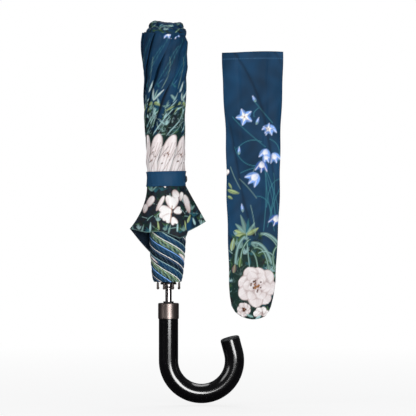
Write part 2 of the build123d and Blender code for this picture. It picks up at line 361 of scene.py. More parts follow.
@dataclass
class Cloth:
    """Cloth being printed: each point's place on the flat cloth, in millimetres, and its colour there.

    Motifs are placed from origin, a distance along u.
    """

    flat: Array
    edge: float = 0.45  # half the softness of an inked edge
    origin: float = 0.0
    chance: np.random.Generator | None = None
    u: Array = field(init=False)
    v: Array = field(init=False)
    inks: Array = field(init=False)

    def __post_init__(self) -> None:
        """Starts from plain navy, lighter and darker in broad soft patches."""
        self.u, self.v = self.flat[..., 0].ravel(), self.flat[..., 1].ravel()
        patch = np.sin(self.u / 9.1 + 1.3 * np.sin(self.v / 17.0)) * np.sin(self.v / 23.0 + self.u / 31.0)
        fine = np.sin(self.u / 3.7 + 2.1 * np.sin(self.v / 8.3)) * np.sin(self.v / 5.9 - self.u / 11.0)
        share = 0.5 + 0.5 * patch
        self.inks = NAVY * (0.74 + 0.4 * share + 0.14 * fine)[:, None]

    def begin(self, origin: float, seed: int) -> None:
        """Starts a new area at an origin, with its own chance."""
        self.origin, self.chance = origin, np.random.default_rng(seed)

    def lay(self, near: Array, cover: Array, colour: Array) -> None:
        """Lays ink over some points.

        Args:
            near: the points' indices.
            cover: how much ink covers each, 0 to 1.
            colour: one colour, or one for each point.
        """
        self.inks[near] += cover[:, None] * (colour - self.inks[near])

    def line(self, on: Array, cover: float, colour: Array) -> None:
        """Lays even ink over the points where on is true."""
        near = np.flatnonzero(on)
        self.lay(near, np.full(len(near), cover), colour)

    def around(self, at: Point, heading: float, reach: float) -> tuple[Array, Array, Array]:
        """Finds the points near a motif.

        Args:
            at: the motif's root.
            heading: its direction in degrees, 0 along u and 90 along v.
            reach: how far it extends.

        Returns:
            The points' indices, and their places along and across the motif.
        """
        du, dv = self.u - (self.origin + at[0]), self.v - at[1]
        near = np.flatnonzero((np.abs(du) < reach) & (np.abs(dv) < reach))
        c, s = math.cos(math.radians(heading)), math.sin(math.radians(heading))
        return near, du[near] * c + dv[near] * s, dv[near] * c - du[near] * s

    def leaf(
        self, at: Point, heading: float, length: float, width: float, colour: Array,
        vein: Array | None = None, curl: float = 0.0,
    ) -> None:
        """A pointed leaf.

        Args:
            at: its foot.
            heading: the direction of its tip, in degrees.
            length: foot to tip.
            width: at its widest.
            colour: the blade's colour.
            vein: the midrib's colour, if it shows one.
            curl: how far the tip bends sideways, as a share of the length.
        """
        near, along, across = self.around(at, heading, length * 1.2)
        t = np.clip(along / length, 0, 1)
        across = across - curl * length * t**2
        half = width / 2 * np.sin(math.pi * t**0.8) ** 0.85
        inside = np.clip((half - np.abs(across)) / self.edge / 2 + 0.5, 0, 1) * (along > 0) * (along < length)
        self.lay(near, inside, colour * (0.78 + 0.4 * (across > 0))[:, None])
        if vein is not None:
            midrib = np.clip(1 - np.abs(across) / (0.1 * width + 0.25), 0, 1) * inside
            self.lay(near, midrib * 0.8, vein)

    def petal(
        self, at: Point, heading: float, length: float, width: float,
        colour: Array = BLUSH, shade: Array = MAUVE,
    ) -> None:
        """A broad petal, widest near its outer end.

        Args:
            at: its root.
            heading: the direction of its outer end, in degrees.
            length: root to outer end.
            width: at its widest.
            colour: the petal's colour.
            shade: the colour of its creases and rim.
        """
        near, along, across = self.around(at, heading, length * 1.2)
        t = along / length
        reach = np.where(t < 0.62, (0.62 - t) / 0.62, (t - 0.62) / 0.38)
        half = width / 2 * np.sqrt(np.clip(1 - reach**2, 0, 1)) * (1 + 0.05 * np.sin(across * 9 / width))
        inside = np.clip((half - np.abs(across)) / self.edge / 2 + 0.5, 0, 1) * (t > 0) * (t < 1)
        rim = np.clip(1 - (half - np.abs(across)) / (0.09 * width + 0.3), 0, 1)
        crease = np.clip(np.sin(across / width * 22 + 2 * t) ** 8, 0, 1) * (1 - t)
        darker = np.clip(0.62 * rim + 0.5 * crease + 0.6 * (1 - t) ** 3 + 0.14 * (across > 0), 0, 1)[:, None]
        self.lay(near, inside, colour * (1 - darker) + shade * darker)

    def specks(self, at: Point, spread: float, count: int, size: float, colour: Array) -> None:
        """A scatter of small spots.

        Args:
            at: the middle.
            spread: how far out they lie.
            count: how many there are.
            size: the radius of one.
            colour: their colour.
        """
        turns, outs = self.chance.uniform(0, 2 * math.pi, count), self.chance.uniform(0.2, 1, count)
        for turn, out in zip(turns, outs):
            place = (at[0] + spread * out * math.cos(turn), at[1] + spread * out * math.sin(turn))
            near, along, across = self.around(place, 0, size + 1)
            self.lay(near, np.clip((size - np.hypot(along, across)) / 0.5 + 0.5, 0, 1), colour)

    def peony(self, at: Point, radius: float) -> None:
        """A full blush bloom, of a given radius, with three rows of petals and brown stamens."""
        for share, count in ((1.0, 8), (0.74, 6), (0.46, 5)):
            start = self.chance.uniform(0, 360)
            near, along, across = self.around(at, 0, radius)
            depth = radius * share * 0.86 - np.hypot(along, across)
            self.lay(near, 0.55 * np.clip(depth / (0.1 * radius) + 0.5, 0, 1), MAUVE * 0.8)
            for k in range(count):
                heading = start + 360 / count * k + self.chance.uniform(-8, 8)
                length = radius * share * self.chance.uniform(0.9, 1.04)
                self.petal(at, heading, length, radius * share * 0.74, BLUSH * 0.92)
        self.specks(at, radius * 0.3, int(12 + radius / 3), 0.035 * radius + 0.15, BROWN)
        self.specks(at, radius * 0.14, 6, 0.04 * radius + 0.1, AMBER)

    def star(self, at: Point, size: float, heading: float) -> None:
        """An open five-petalled bellflower with a white heart.

        Args:
            at: its heart.
            size: heart to petal tip.
            heading: the direction of the first petal.
        """
        for length, width, colours in ((1.0, 0.62, (BELL, WHITE)), (0.55, 0.34, (WHITE,))):
            for k in range(5):
                self.leaf(at, heading + 72 * k, size * length, size * width, *colours)
        near, along, across = self.around(at, 0, size * 0.3)
        self.lay(near, np.clip((size * 0.1 - np.hypot(along, across)) + 0.3, 0, 1), AMBER)

    def bell(self, at: Point, heading: float, size: float, colour: Array = BELL) -> None:
        """A hanging bellflower with a white cup and three pointed lobes.

        Args:
            at: its foot on the stem.
            heading: the direction that it hangs in.
            size: foot to lobe tip.
            colour: the lobes' colour.
        """
        for turn in (-32, 30, 0):
            self.leaf(at, heading + turn, size, size * 0.46, colour, WHITE)
        self.petal(at, heading, size * 0.6, size * 0.52, WHITE, colour)

    def stem(self, start: Point, bend: Point, end: Point, width: float, colour: Array) -> None:
        """A thin stem from start to end that leans towards bend."""
        a, b, c = (np.array((self.origin + p[0], p[1]), float) for p in (start, bend, end))
        low, high = np.minimum(np.minimum(a, b), c) - 2, np.maximum(np.maximum(a, b), c) + 2
        inside = (self.u > low[0]) & (self.u < high[0]) & (self.v > low[1]) & (self.v < high[1])
        near = np.flatnonzero(inside)
        if not len(near):
            return
        place = np.stack([self.u[near], self.v[near]], 1)
        away = np.full(len(near), 1e9)
        knots = [(1 - t) ** 2 * a + 2 * t * (1 - t) * b + t**2 * c for t in np.linspace(0, 1, 13)]
        for p, q in zip(knots, knots[1:]):
            run = q - p
            share = np.clip(((place - p) @ run) / max(float(run @ run), 1e-9), 0, 1)
            away = np.minimum(away, np.linalg.norm(place - p - share[:, None] * run, axis=1))
        self.lay(near, np.clip((width / 2 - away) / self.edge / 1.6 + 0.5, 0, 1), colour)

    def foliage(self, low: Point, high: Point, count: int, size: float, *colours: Array) -> None:
        """Leaves strewn over a rectangle.

        Args:
            low: its lower left corner.
            high: its upper right corner.
            count: how many leaves there are.
            size: the usual length of a leaf.
            colours: the inks to choose from.
        """
        draw = self.chance.uniform
        for _ in range(count):
            at = (draw(low[0], high[0]), draw(low[1], high[1]))
            length = size * draw(0.6, 1.4)
            colour = colours[self.chance.integers(len(colours))]
            vein = PALE_TEAL if self.chance.random() < 0.35 else None
            self.leaf(at, draw(10, 170), length, length * draw(0.2, 0.36), colour, vein, draw(-0.4, 0.4))

    def sprigs(self, low: Point, high: Point, count: int) -> None:
        """Sprays of fine grassy strokes that grow from a rectangle, dark first and pale last."""
        draw = self.chance.uniform
        inks = (OLIVE_BLACK * 0.6, DEEP * 0.5, PINE * 0.6, TEAL * 0.8, MOSS * 0.8, SAGE, PALE_TEAL * 0.8)
        for k in range(count):
            at = (draw(low[0], high[0]), draw(low[1], high[1]))
            lean, colour = draw(50, 130), inks[min(6, 7 * k // count)]
            for turn in (-44, -21, 0, 19, 40):
                length = draw(3.5, 7.5)
                heading = lean + turn + draw(-8, 8)
                self.leaf(at, heading, length, draw(0.7, 1.3), colour, None, draw(-0.3, 0.3))

    def ground(self, top: float, bottom: float, colour: Array, left: float, right: float) -> None:
        """A dark mottled ground that fades in from top to bottom, between two limits along u."""
        across = (self.u > self.origin + left) & (self.u < self.origin + right)
        near = np.flatnonzero((self.v < top) & across)
        u, v = self.u[near], self.v[near]
        mottled = 0.5 + 0.5 * np.sin(u * 1.1 + 2 * np.sin(v * 0.5)) * np.sin(v * 0.9 + u * 0.3)
        self.lay(near, smoothstep(top, bottom, v) * (0.72 + 0.28 * mottled), colour)


# ================= cloth meshes =================
def show(name: str, data: bpy.types.ID) -> Object:
    """Adds an object with this data to the scene."""
    piece = bpy.data.objects.new(name, data)
    bpy.context.scene.collection.objects.link(piece)
    return piece


def cloth_object(
    name: str, points: Array, flat: Array, cloth: Cloth | None = None,
    closed: bool = True, rising: bool = False,
) -> Object:
    """Makes a cloth piece from a grid of points.

    Args:
        name: the piece's name.
        points: rows x columns x 3, in millimetres.
        flat: rows x columns x 2, each point's place on the flat cloth, in millimetres.
        cloth: its print, or None for plain cloth.
        closed: whether the last column joins the first.
        rising: whether the rows go up rather than down, which turns the faces.

    Returns:
        The new object.
    """
    rows, columns = points.shape[:2]
    index = np.arange(rows * columns).reshape(rows, columns)
    left = index if closed else index[:, :-1]
    right = np.roll(index, -1, axis=1) if closed else index[:, 1:]
    corners = [left[:-1], right[:-1], right[1:], left[1:]]
    if not rising:
        corners.reverse()
    faces = np.stack([c.ravel() for c in corners], axis=1)
    mesh = bpy.data.meshes.new(name)
    mesh.from_pydata((points.reshape(-1, 3) * MM).tolist(), [], faces.tolist())
    spots = flat.reshape(-1, 2)
    place = spots[faces] * MM
    if closed:
        step = np.median(np.abs(np.diff(flat[:, :, 0], axis=1))) * MM
        seam = faces % columns == 0
        last = (faces % columns == columns - 1).any(axis=1)[:, None] & seam
        place[..., 0] = np.where(last, spots[:, 0].max() * MM + step, place[..., 0])
    mesh.uv_layers.new(name="UVMap").data.foreach_set("uv", place.astype(np.float32).ravel())
    if cloth is not None:
        layer = mesh.color_attributes.new("print", "FLOAT_COLOR", "POINT")
        rgba = np.ones((rows * columns, 4), np.float32)
        rgba[:, :3] = np.clip(cloth.inks, 0, 1)
        layer.data.foreach_set("color", rgba.ravel())
    mesh.polygons.foreach_set("use_smooth", [True] * len(mesh.polygons))
    mesh.update()
    return show(name, mesh)


def thicken(piece: Object, thick_mm: float, face: Material, lining: Material) -> None:
    """Gives cloth its thickness, with a second finish on its other side."""
    piece.data.materials.append(face)
    piece.data.materials.append(lining)
    solid = piece.modifiers.new("thickness", "SOLIDIFY")
    solid.thickness = thick_mm * MM
    solid.offset = -1
    solid.material_offset = 1
    solid.use_even_offset = False


# ================= the rolled canopy =================
PLEAT = 30.0  # one pleat's cloth, of which 21 shows
PER_DEGREE = 21 / 57.3  # cloth for one degree round the roll
TINY = 1e-6  # keeps rounding from moving a point over an edge


@dataclass
class RolledCanopy:
    """The canopy's eight gores, folded into pleats, wound round the ribs and tied."""

    pleats: int = 8
    rib_columns: int = 26  # points across a pleat's outer face
    row_step: float = 0.75
    rim_z: float = 305.5
    foot_z: float = 57.0
    spread: float = 58.0  # degrees that a pleat covers, overlapping the next by 13
    start_turn: float = -32.0  # degrees, puts a pleat's edge left of the front at the rim
    # (height, left edge, right edge) of the roll
    outline: tuple[Place, ...] = (
        (305.5, -27.5, 16.5), (297, -28.2, 19.6), (285, -27.4, 18.6), (273, -26.4, 19.6), (261, -24.6, 18.0),
        (243, -25.2, 17.8), (225, -24.8, 17.4), (213, -24.4, 17.2), (201, -22.8, 16.6), (177, -22.6, 16.6),
        (168, -21.2, 16.4), (150, -21.0, 16.4), (120, -18.8, 17.0), (99, -19.0, 17.6), (87, -18.8, 16.8),
        (75, -17.6, 15.9), (63, -16.6, 14.6), (57, -14.9, 12.8),
    )

    def edges(self, z: Array) -> tuple[Array, Array]:
        """The roll's middle in X and its half-width at each height."""
        return span(self.outline, z)

    def depth(self, z: Array) -> Array:
        """The roll's half-depth in Y at each height."""
        heights = (57, 87, 120, 150, 201, 240, 285, 305)
        return np.interp(z, heights, (14.4, 16.4, 17.4, 17.6, 18.4, 21.0, 21.8, 21.0))

    def turn(self, z: Array) -> Array:
        """How far the pleats have wound at each height, in degrees: gently above the strap, steeply below."""
        fine = np.arange(self.foot_z - 5, self.rim_z + 5, 0.25)
        rate = 1.05 * smoothstep(140, 175, fine) - 6.2 * (1 - smoothstep(98, 126, fine))
        wound = np.cumsum(rate) * 0.25
        return np.interp(z, fine, wound - wound[-1]) + self.start_turn

    def pleat_profile(self) -> tuple[Array, Array, Array]:
        """One pleat's cross-section, from its tucked root over its face and free edge to its underside.

        Returns:
            Degrees from the root, the share of the pleat's height below its edge, and extra depth in
            millimetres.
        """
        face = np.linspace(0, self.spread, self.rib_columns)
        below = 1 - (face / self.spread) ** 0.75
        turned = np.array([self.spread + 0.5, self.spread + 0.3])
        degrees = np.concatenate([face, turned, np.linspace(self.spread - 1.2, 46.0, 5)])
        share = np.concatenate([below, [0.0, 0.0], np.linspace(0.0, 0.85, 5)])
        deeper = np.concatenate([np.zeros(len(face)), [0.12, 0.42], np.linspace(0.55, 0.2, 5)])
        return degrees, share, deeper

    def build(self) -> tuple[Array, Array]:
        """Works out the grid of points on the roll's surface, and their places on the flat cloth."""
        z = np.arange(self.rim_z, self.foot_z, -self.row_step)[:, None]
        profile = self.pleat_profile()
        k = np.repeat(np.arange(self.pleats), len(profile[0]))[None, :]
        degrees, share, deeper = (np.tile(a, self.pleats)[None, :] for a in profile)
        heights = (57, 75, 140, 150, 172, 190, 230, 305)
        height = np.interp(z, heights, (1.1, 1.6, 1.1, 0.9, 0.9, 1.8, 3.0, 3.4))
        p = degrees / self.spread
        phase = k * 1.9
        upper = smoothstep(165, 200, z)
        # broad folds above the strap, finer ones all the way down, and gathers where the strap pulls
        ripple = 0.50 * np.sin(2 * math.pi * (1.3 * p + z / 61) + phase) * upper
        ripple = ripple + 0.26 * np.sin(2 * math.pi * (2.6 * p - z / 43) + 2.1 * phase)
        ripple = ripple + 0.13 * np.sin(2 * math.pi * (4.7 * p + z / 19) + 3.3 * phase)
        ripple = ripple + 0.35 * np.sin(2 * math.pi * (5.0 * p) + phase) * hump(z, 168, 9)
        # sharp creases between soft swellings, fading out at the pleat's root and edge
        crease = np.abs(np.sin(math.pi * (1.9 * p + z / 52 + 0.37 * k))) ** 0.5 - 0.75
        ripple = (ripple + 0.5 * crease * upper) * np.sin(math.pi * np.clip(p, 0, 1)) ** 0.6
        # each pleat wanders a little as it winds down, and is cut off unevenly at the rim
        sway = 1 + 0.05 * np.sin(z / 15 + phase) + 0.03 * np.sin(z / 6.3 + 2 * phase)
        theta = np.radians(-90 + self.turn(z) + 360 / self.pleats * k + degrees * sway)
        middle, half = self.edges(z)
        proud = ripple - (share * height + deeper)
        rim = np.clip((z - self.rim_z + 4) / 4, 0, 1)
        drop = rim * (1.2 * np.sin(theta * 2 + 0.6) - 0.8 * p)
        x = middle + (half + proud) * np.cos(theta)
        y = (self.depth(z) + proud) * np.sin(theta)
        return grid(x, y, z + drop), grid(PLEAT * k + degrees * PER_DEGREE, z)

    def print_gores(self, cloth: Cloth) -> None:
        """Prints each pleat: bells at the rim, plain navy, foliage, then a row of petals above the strap."""
        cloth.begin(0, 7)
        draw = cloth.chance.uniform
        for k in range(self.pleats):
            cloth.origin, clump = PLEAT * k, k % 2 == 1
            low = 2 if clump else 11
            each(
                cloth.stem,
                ((16, 292), (11, 270), (7, 252), 0.5, TEAL),
                ((12, 281), (17, 266), (16, 250), 0.5, SAGE * 0.7),
                ((19, 300), (17, 285), (13, 262), 0.4, TEAL),
            )
            if k in (0, 1, 4, 5):
                cloth.bell((9.5 if clump else 18.5, 307), -78, 8.0)
            each(cloth.leaf, ((13, 251), 140, 7, 1.8, TEAL), ((10, 254), 60, 6, 1.6, SKY))
            each(cloth.ground, (232, 222, PINE * 0.6, low, 30), (208, 202, PINE * 0.6, 0, 30))
            cloth.foliage((low, 203), (22, 232), 26, 8, PINE * 0.7, DEEP, MOSS * 0.6, OLIVE_BLACK, NAVY)
            cloth.sprigs((low, 203), (22, 236), 24 if clump else 15)
            cloth.foliage((low, 203), (22, 226), 16, 7, OLIVE_BLACK, PINE * 0.5, DEEP * 0.6)
            for _ in range(5):
                at = (draw(low, 22), draw(206, 238))
                cloth.leaf(at, draw(40, 140), draw(6, 10), draw(1.0, 1.7), PALE_TEAL, None, draw(-0.4, 0.4))
            self.print_plant(cloth, clump)
            each(
                cloth.petal,
                ((13, 148), 90, 57 + draw(-1.5, 1.5), 17.5),
                ((20.5, 152), 90, 40, 9),
                ((5.5, 152), 91, 41, 8.5),
            )
            along = cloth.u - cloth.origin
            near = np.flatnonzero((along > 0) & (along < 24) & (cloth.v < 184) & (cloth.v > 148))
            cloth.lay(near, smoothstep(186, 178, cloth.v[near]), BLUSH * 0.96)
            for x in (7.0, 10.6, 14.3, 18.0):
                cloth.stem((x, 196), (x + 0.8, 178), (x - 1.0, 160), 0.4, MAUVE)
            each(cloth.specks, ((13, 180), 7.0, 5, 0.75, BROWN), ((12, 184), 5.0, 4, 0.5, AMBER))
            each(
                cloth.stem,
                ((9, 184), (13, 187), (16, 182), 0.5, BROWN),
                ((2, 170), (6, 184), (12, 192), 0.5, BROWN * 0.6),
                ((14, 168), (18, 176), (21, 190), 0.6, MAUVE * 0.6),
            )

    def print_plant(self, cloth: Cloth, clump: bool) -> None:
        """Prints the bright leaves above one pleat's foliage, in a full clump or as a sprig."""
        full = (
            ((12, 238), 128, 14, 3.0, PALE_TEAL * 0.8, WHITE, -0.15),
            ((12, 238), 48, 13, 3.0, PALE_TEAL * 0.8, WHITE, 0.15),
            ((12, 238), 88, 11, 2.0, SAGE, PALE_TEAL),
            ((11, 235), 165, 9, 3.4, LIME * 0.9, MOSS, 0.5),
            ((13, 235), 15, 9, 3.4, LIME * 0.9, MOSS, -0.6),
            ((8, 231), 225, 8, 2.6, LIME * 0.8, MOSS, 0.3),
            ((15, 231), 310, 8, 2.6, SAGE * 0.9, PALE_TEAL, -0.3),
        )
        sprig = (
            ((19, 246), 75, 12, 2.4, PALE_TEAL * 0.8, WHITE, 0.1),
            ((17, 238), 140, 9, 2.2, SAGE, PALE_TEAL),
            ((18, 232), 200, 8, 2.6, LIME * 0.8, MOSS, 0.3),
        )
        each(cloth.leaf, *(full if clump else sprig))
        cloth.stem((18, 229), (13, 216), (5, 203), 0.9, PALE_TEAL)
        cloth.stem((18, 223), (18, 212), (10, 203), 0.6, SAGE)

    def print_foot(self, cloth: Cloth, points: Array) -> None:
        """Prints the wound hems below the skirt: navy and leafy bands with pale and blue lines."""
        pleat = np.floor(cloth.u / PLEAT + TINY).astype(int)
        p = (cloth.u - PLEAT * pleat) / (self.spread * PER_DEGREE)
        below = smoothstep(133, 127, cloth.v)
        theta = np.arctan2(points[..., 1], points[..., 0] + 2).ravel()
        along = 16 * theta + 0.35 * cloth.v
        mottled = 0.5 + 0.5 * np.sin(along * 1.3 + 3 * p) * np.sin(along * 0.53 - 7 * p + pleat)
        flecks = np.sin(along * 2.1 + 9 * p + pleat) * np.sin(along * 0.9 + 5 * p)
        flecks = np.clip(flecks * 2 - 0.6, 0, 1)
        # for each kind of pleat: its ground, its edge line, and its second line's colour and strength
        kinds = (
            (NAVY, BELL * 1.5, SKY, 0.35),
            (None, WHITE, LIME * 1.1, 0.9),
            (NAVY * 1.1, PALE_TEAL, SKY, 0.35),
            (DEEP * 0.9, WHITE, BELL, 0.35),
        )
        for k in range(self.pleats):
            on = np.flatnonzero((pleat == k) & (below > 0))
            ground, edge, second, strength = kinds[k % len(kinds)]
            leafy = ground is None
            shade = mottled[on][:, None]
            if leafy:
                mixed = SAGE * 1.2 * shade**2 + PINE * 0.7 * (1 - shade**2)
            else:
                mixed = ground * (0.8 + 0.4 * shade)
            cloth.lay(on, below[on], mixed)
            cloth.lay(on, flecks[on] * below[on] * (0.75 if leafy else 0.15), LIME if leafy else PALE_TEAL)
            cloth.lay(on, hump(p[on], 0.93, 0.045) * below[on], edge)
            cloth.lay(on, hump(p[on], 0.74, 0.03) * below[on] * strength, second)
        for k in (1, 2, 5, 6):
            cloth.origin = PLEAT * k
            cloth.petal((8, 76), 70, 10, 7)

    def make(self) -> Object:
        """Builds and prints the roll, then paints shade where each pleat tucks under its neighbour."""
        points, flat = self.build()
        cloth = Cloth(flat)
        self.print_gores(cloth)
        self.print_foot(cloth, points)
        away = np.mod(cloth.u, PLEAT) / (self.spread * PER_DEGREE)
        # painted shade along each pleat's root, where it tucks under its neighbour's edge, stronger towards
        # the top
        tucked = hump(away, 0.2, 0.09) * (0.6 + 0.2 * smoothstep(180, 240, cloth.v))
        cloth.inks *= (1 - tucked)[:, None]
        return cloth_object("canopy_roll", points, flat, cloth)


@dataclass
class TopRoll:
    """The ring of cloth turned over the folded ribs' tops, puckered in towards the crown."""

    columns: int = 220
    rows: int = 90
    # (radius, height) from the rim, over the turned cloth and down into the middle
    profile: tuple[Point, ...] = (
        (18.0, 299), (20.2, 304), (20.4, 307), (19.2, 309.6), (17.0, 310.6), (17.4, 312.2),
        (16.2, 315.0), (13.2, 316.8), (10.0, 316.4), (8.2, 314.2), (7.0, 310.5), (6.4, 305.5),
    )

    def make(self) -> Object:
        """Builds and prints the ring."""
        knots = np.array(self.profile, float)
        t = np.linspace(0, len(knots) - 1, self.rows)
        radius, height = (np.interp(t, np.arange(len(knots)), knots[:, k]) for k in (0, 1))
        smooth(radius, 6)
        smooth(height, 6)
        th = around_ring(self.columns)[None, :]
        s = np.linspace(0, 1, self.rows)[:, None]
        swirl = th + 1.4 * s
        # nine deep folds and fourteen finer ones, which run askew into the middle
        fold = np.abs(np.sin(4.5 * swirl + 0.4)) ** 0.6 - 0.7
        fold = fold + 0.5 * (np.abs(np.sin(7 * swirl + 2 + 3 * s)) ** 0.7 - 0.7)
        pucker = 1.5 * fold * smoothstep(0.12, 0.35, s) * (1 - 0.5 * s)
        lift = 0.8 * np.sin(th * 2 + 0.9) * smoothstep(0.3, 0.6, s)
        lift = lift - 0.6 * np.cos(th) * smoothstep(0.2, 0.7, s)
        reach = radius[:, None] * (1 + 0.02 * np.sin(3 * th)) + pucker
        x = -2.6 * (1 - 0.4 * s) + reach * np.cos(th)
        points = grid(x, reach * np.sin(th), height[:, None] + lift + 0.5 * pucker)
        flat = grid(th * 18, s * 60)
        cloth = Cloth(flat)
        cloth.begin(0, 23)
        cloth.foliage((0, 2), (113, 48), 46, 9, TEAL, PINE, MOSS, NAVY, SAGE)
        for k in range(9):
            cloth.leaf((12.5 * k + 4, 14 + 3 * (k % 3)), 20 + 35 * (k % 4), 11, 2.6, SAGE, PALE_TEAL)
        cloth.foliage((0, 30), (113, 60), 26, 8, NAVY, DEEP, TEAL)
        cloth.sprigs((0, 4), (113, 40), 40)
        # painted shade in the hollows of the folds, inward of the outer rim
        deep = np.clip(0.5 - 0.8 * fold, 0, 1) * smoothstep(0.12, 0.3, s)
        cloth.inks *= (1 - 0.62 * deep.ravel())[:, None]
        return cloth_object("canopy_top_roll", points, flat, cloth, rising=True)


@dataclass
class Skirt:
    """The loose cloth below the strap, flaring to two corners that hang free of the roll."""

    columns: int = 300
    rows: int = 84
    top_z: float = 153.5
    roll: RolledCanopy = field(default_factory=RolledCanopy)

    # the hem from the left corner round the front to the right corner, and on round the back: x, y, z
    front_hem: tuple[Place, ...] = (
        (-39.0, -1.0, 110.2), (-29.5, -9.5, 108.2), (-21.5, -15.0, 106.4), (-13.0, -18.6, 107.4),
        (-4.5, -20.0, 106.8), (4.0, -20.4, 103.6), (11.5, -19.2, 100.6), (18.0, -15.8, 103.0),
        (20.5, -13.6, 107.8), (29.0, -7.4, 112.4), (37.2, -1.0, 117.4),
    )
    back_hem: tuple[Place, ...] = (
        (37.2, 1.0, 117.4), (28.0, 8.4, 114.0), (19.5, 14.6, 109.6), (10.0, 19.0, 98.0),
        (0.0, 20.4, 90.5), (-10.0, 18.2, 87.4), (-18.5, 13.0, 86.2), (-25.5, 8.2, 94.2),
        (-32.5, 4.0, 102.4), (-39.0, 1.0, 110.2),
    )

    def hem(self, theta: Array) -> tuple[Array, Array, Array]:
        """The hem's place at each angle: X, Y and height."""
        # 0 to 1 round the front, and 1 to 2 round the back
        turned = np.mod(theta + math.pi, 2 * math.pi) / math.pi
        fronts, backs = len(self.front_hem), len(self.back_hem)
        run = np.concatenate([np.linspace(0, 1, fronts), np.linspace(1, 2, backs)[1:]])
        line = np.array(self.front_hem + self.back_hem[1:])
        x, y, z = (np.interp(turned, run, line[:, k]) for k in range(3))
        return x, y, z

    def make(self) -> Object:
        """Builds and prints the skirt."""
        theta = around_ring(self.columns)[None, :]
        b = np.linspace(0, 1, self.rows)[:, None]
        middle, half = self.roll.edges(np.array(self.top_z))
        x0 = middle + (half + 0.5) * np.cos(theta)
        y0 = (self.roll.depth(np.array(self.top_z)) + 0.5) * np.sin(theta)
        x1, y1, z1 = self.hem(theta)
        # gathers under the strap, and five flutes that grow towards the hem and die out at the corners
        gather = np.sin(9 * theta + 0.8) * 0.7 + 0.5 * np.sin(14 * theta + 2.1)
        fold = 1.5 * (np.abs(np.sin(2.5 * theta + 0.9 + 0.8 * b)) - 0.6) * b
        fold = (fold + gather * np.exp(-b * 3.5) * (b > 0)) * (1 - 0.7 * np.abs(np.cos(theta)) ** 8)
        x = x0 + (x1 - x0) * b ** (1.5 - 0.5 * np.cos(theta)) + fold * np.cos(theta)
        y = y0 + (y1 - y0) * b ** (0.8 + 0.4 * np.cos(theta) ** 2) + 1.2 * np.sin(math.pi * b) * np.sin(theta)
        y = y + fold * np.sin(theta)
        z = self.top_z + (z1 - self.top_z) * b
        flat = grid(np.where(np.sin(theta) > 0, BACK - x, x), z)
        cloth = Cloth(flat)
        for side, seed in ((0.0, 11), (BACK, 12)):
            cloth.begin(side, seed)
            self.print_side(cloth)
        cloth.line((b + 0 * theta).ravel() > 0.985, 0.6, SAGE * 0.7)
        return cloth_object("canopy_skirt", grid(x, y, z), flat, cloth)

    def print_side(self, cloth: Cloth) -> None:
        """Prints one side: a black-green ground, white petals in the middle, leaves round them."""
        cloth.ground(157, 152, OLIVE_BLACK * 0.8, -50, 50)
        cloth.foliage((-38, 104), (38, 150), 70, 9, OLIVE_BLACK, PINE, PINE, MOSS * 0.6, OLIVE_BLACK)
        each(
            cloth.sprigs,
            ((-22, 136), (18, 152), 20),
            ((-34, 104), (36, 118), 30),
            ((10, 116), (34, 136), 12),
        )
        for k in range(7):
            turn = k % 3
            colour = (SAGE, PALE_TEAL, LIME)[turn]
            cloth.leaf((-27 + 9 * k, 105 + 2 * turn), 75 + 12 * turn, 10, 1.6, colour)
        each(
            cloth.leaf,
            ((21, 106), 80, 17, 9, NAVY),
            ((28, 108), 95, 15, 8, DEEP),
            ((19, 116), 70, 9, 2.2, LIME),
            ((27, 114), 110, 8, 2.0, PALE_TEAL),
        )
        for at, heading, length, wide in (
            ((4.5, 130), 95, 14.5, 7.5),
            ((4.0, 128), 186, 14.0, 7.5),
            ((2.0, 125), 236, 9.5, 5.5),
            ((5.5, 127), 20, 8.0, 4.5),
            ((4.5, 122), 288, 8.0, 4.0),
        ):
            for lean in (-17, 17):
                cloth.petal(at, heading + lean, length, wide, WHITE, MAUVE * 1.2)
            cloth.petal(at, heading, length * 0.8, wide * 0.9, WHITE, WHITE)
        cloth.stem((4, 133), (3, 126), (2, 118), 0.7, AMBER)
        each(
            cloth.petal,
            ((-22, 132), 55, 13, 6.5),
            ((-24, 126), 80, 9, 5.0),
            ((-12, 128), 62, 17, 4.2),
            ((5, 149), 300, 9, 7, WHITE),
            ((12, 138), 80, 9, 4, WHITE),
            ((21, 126), 105, 19, 5.5),
        )


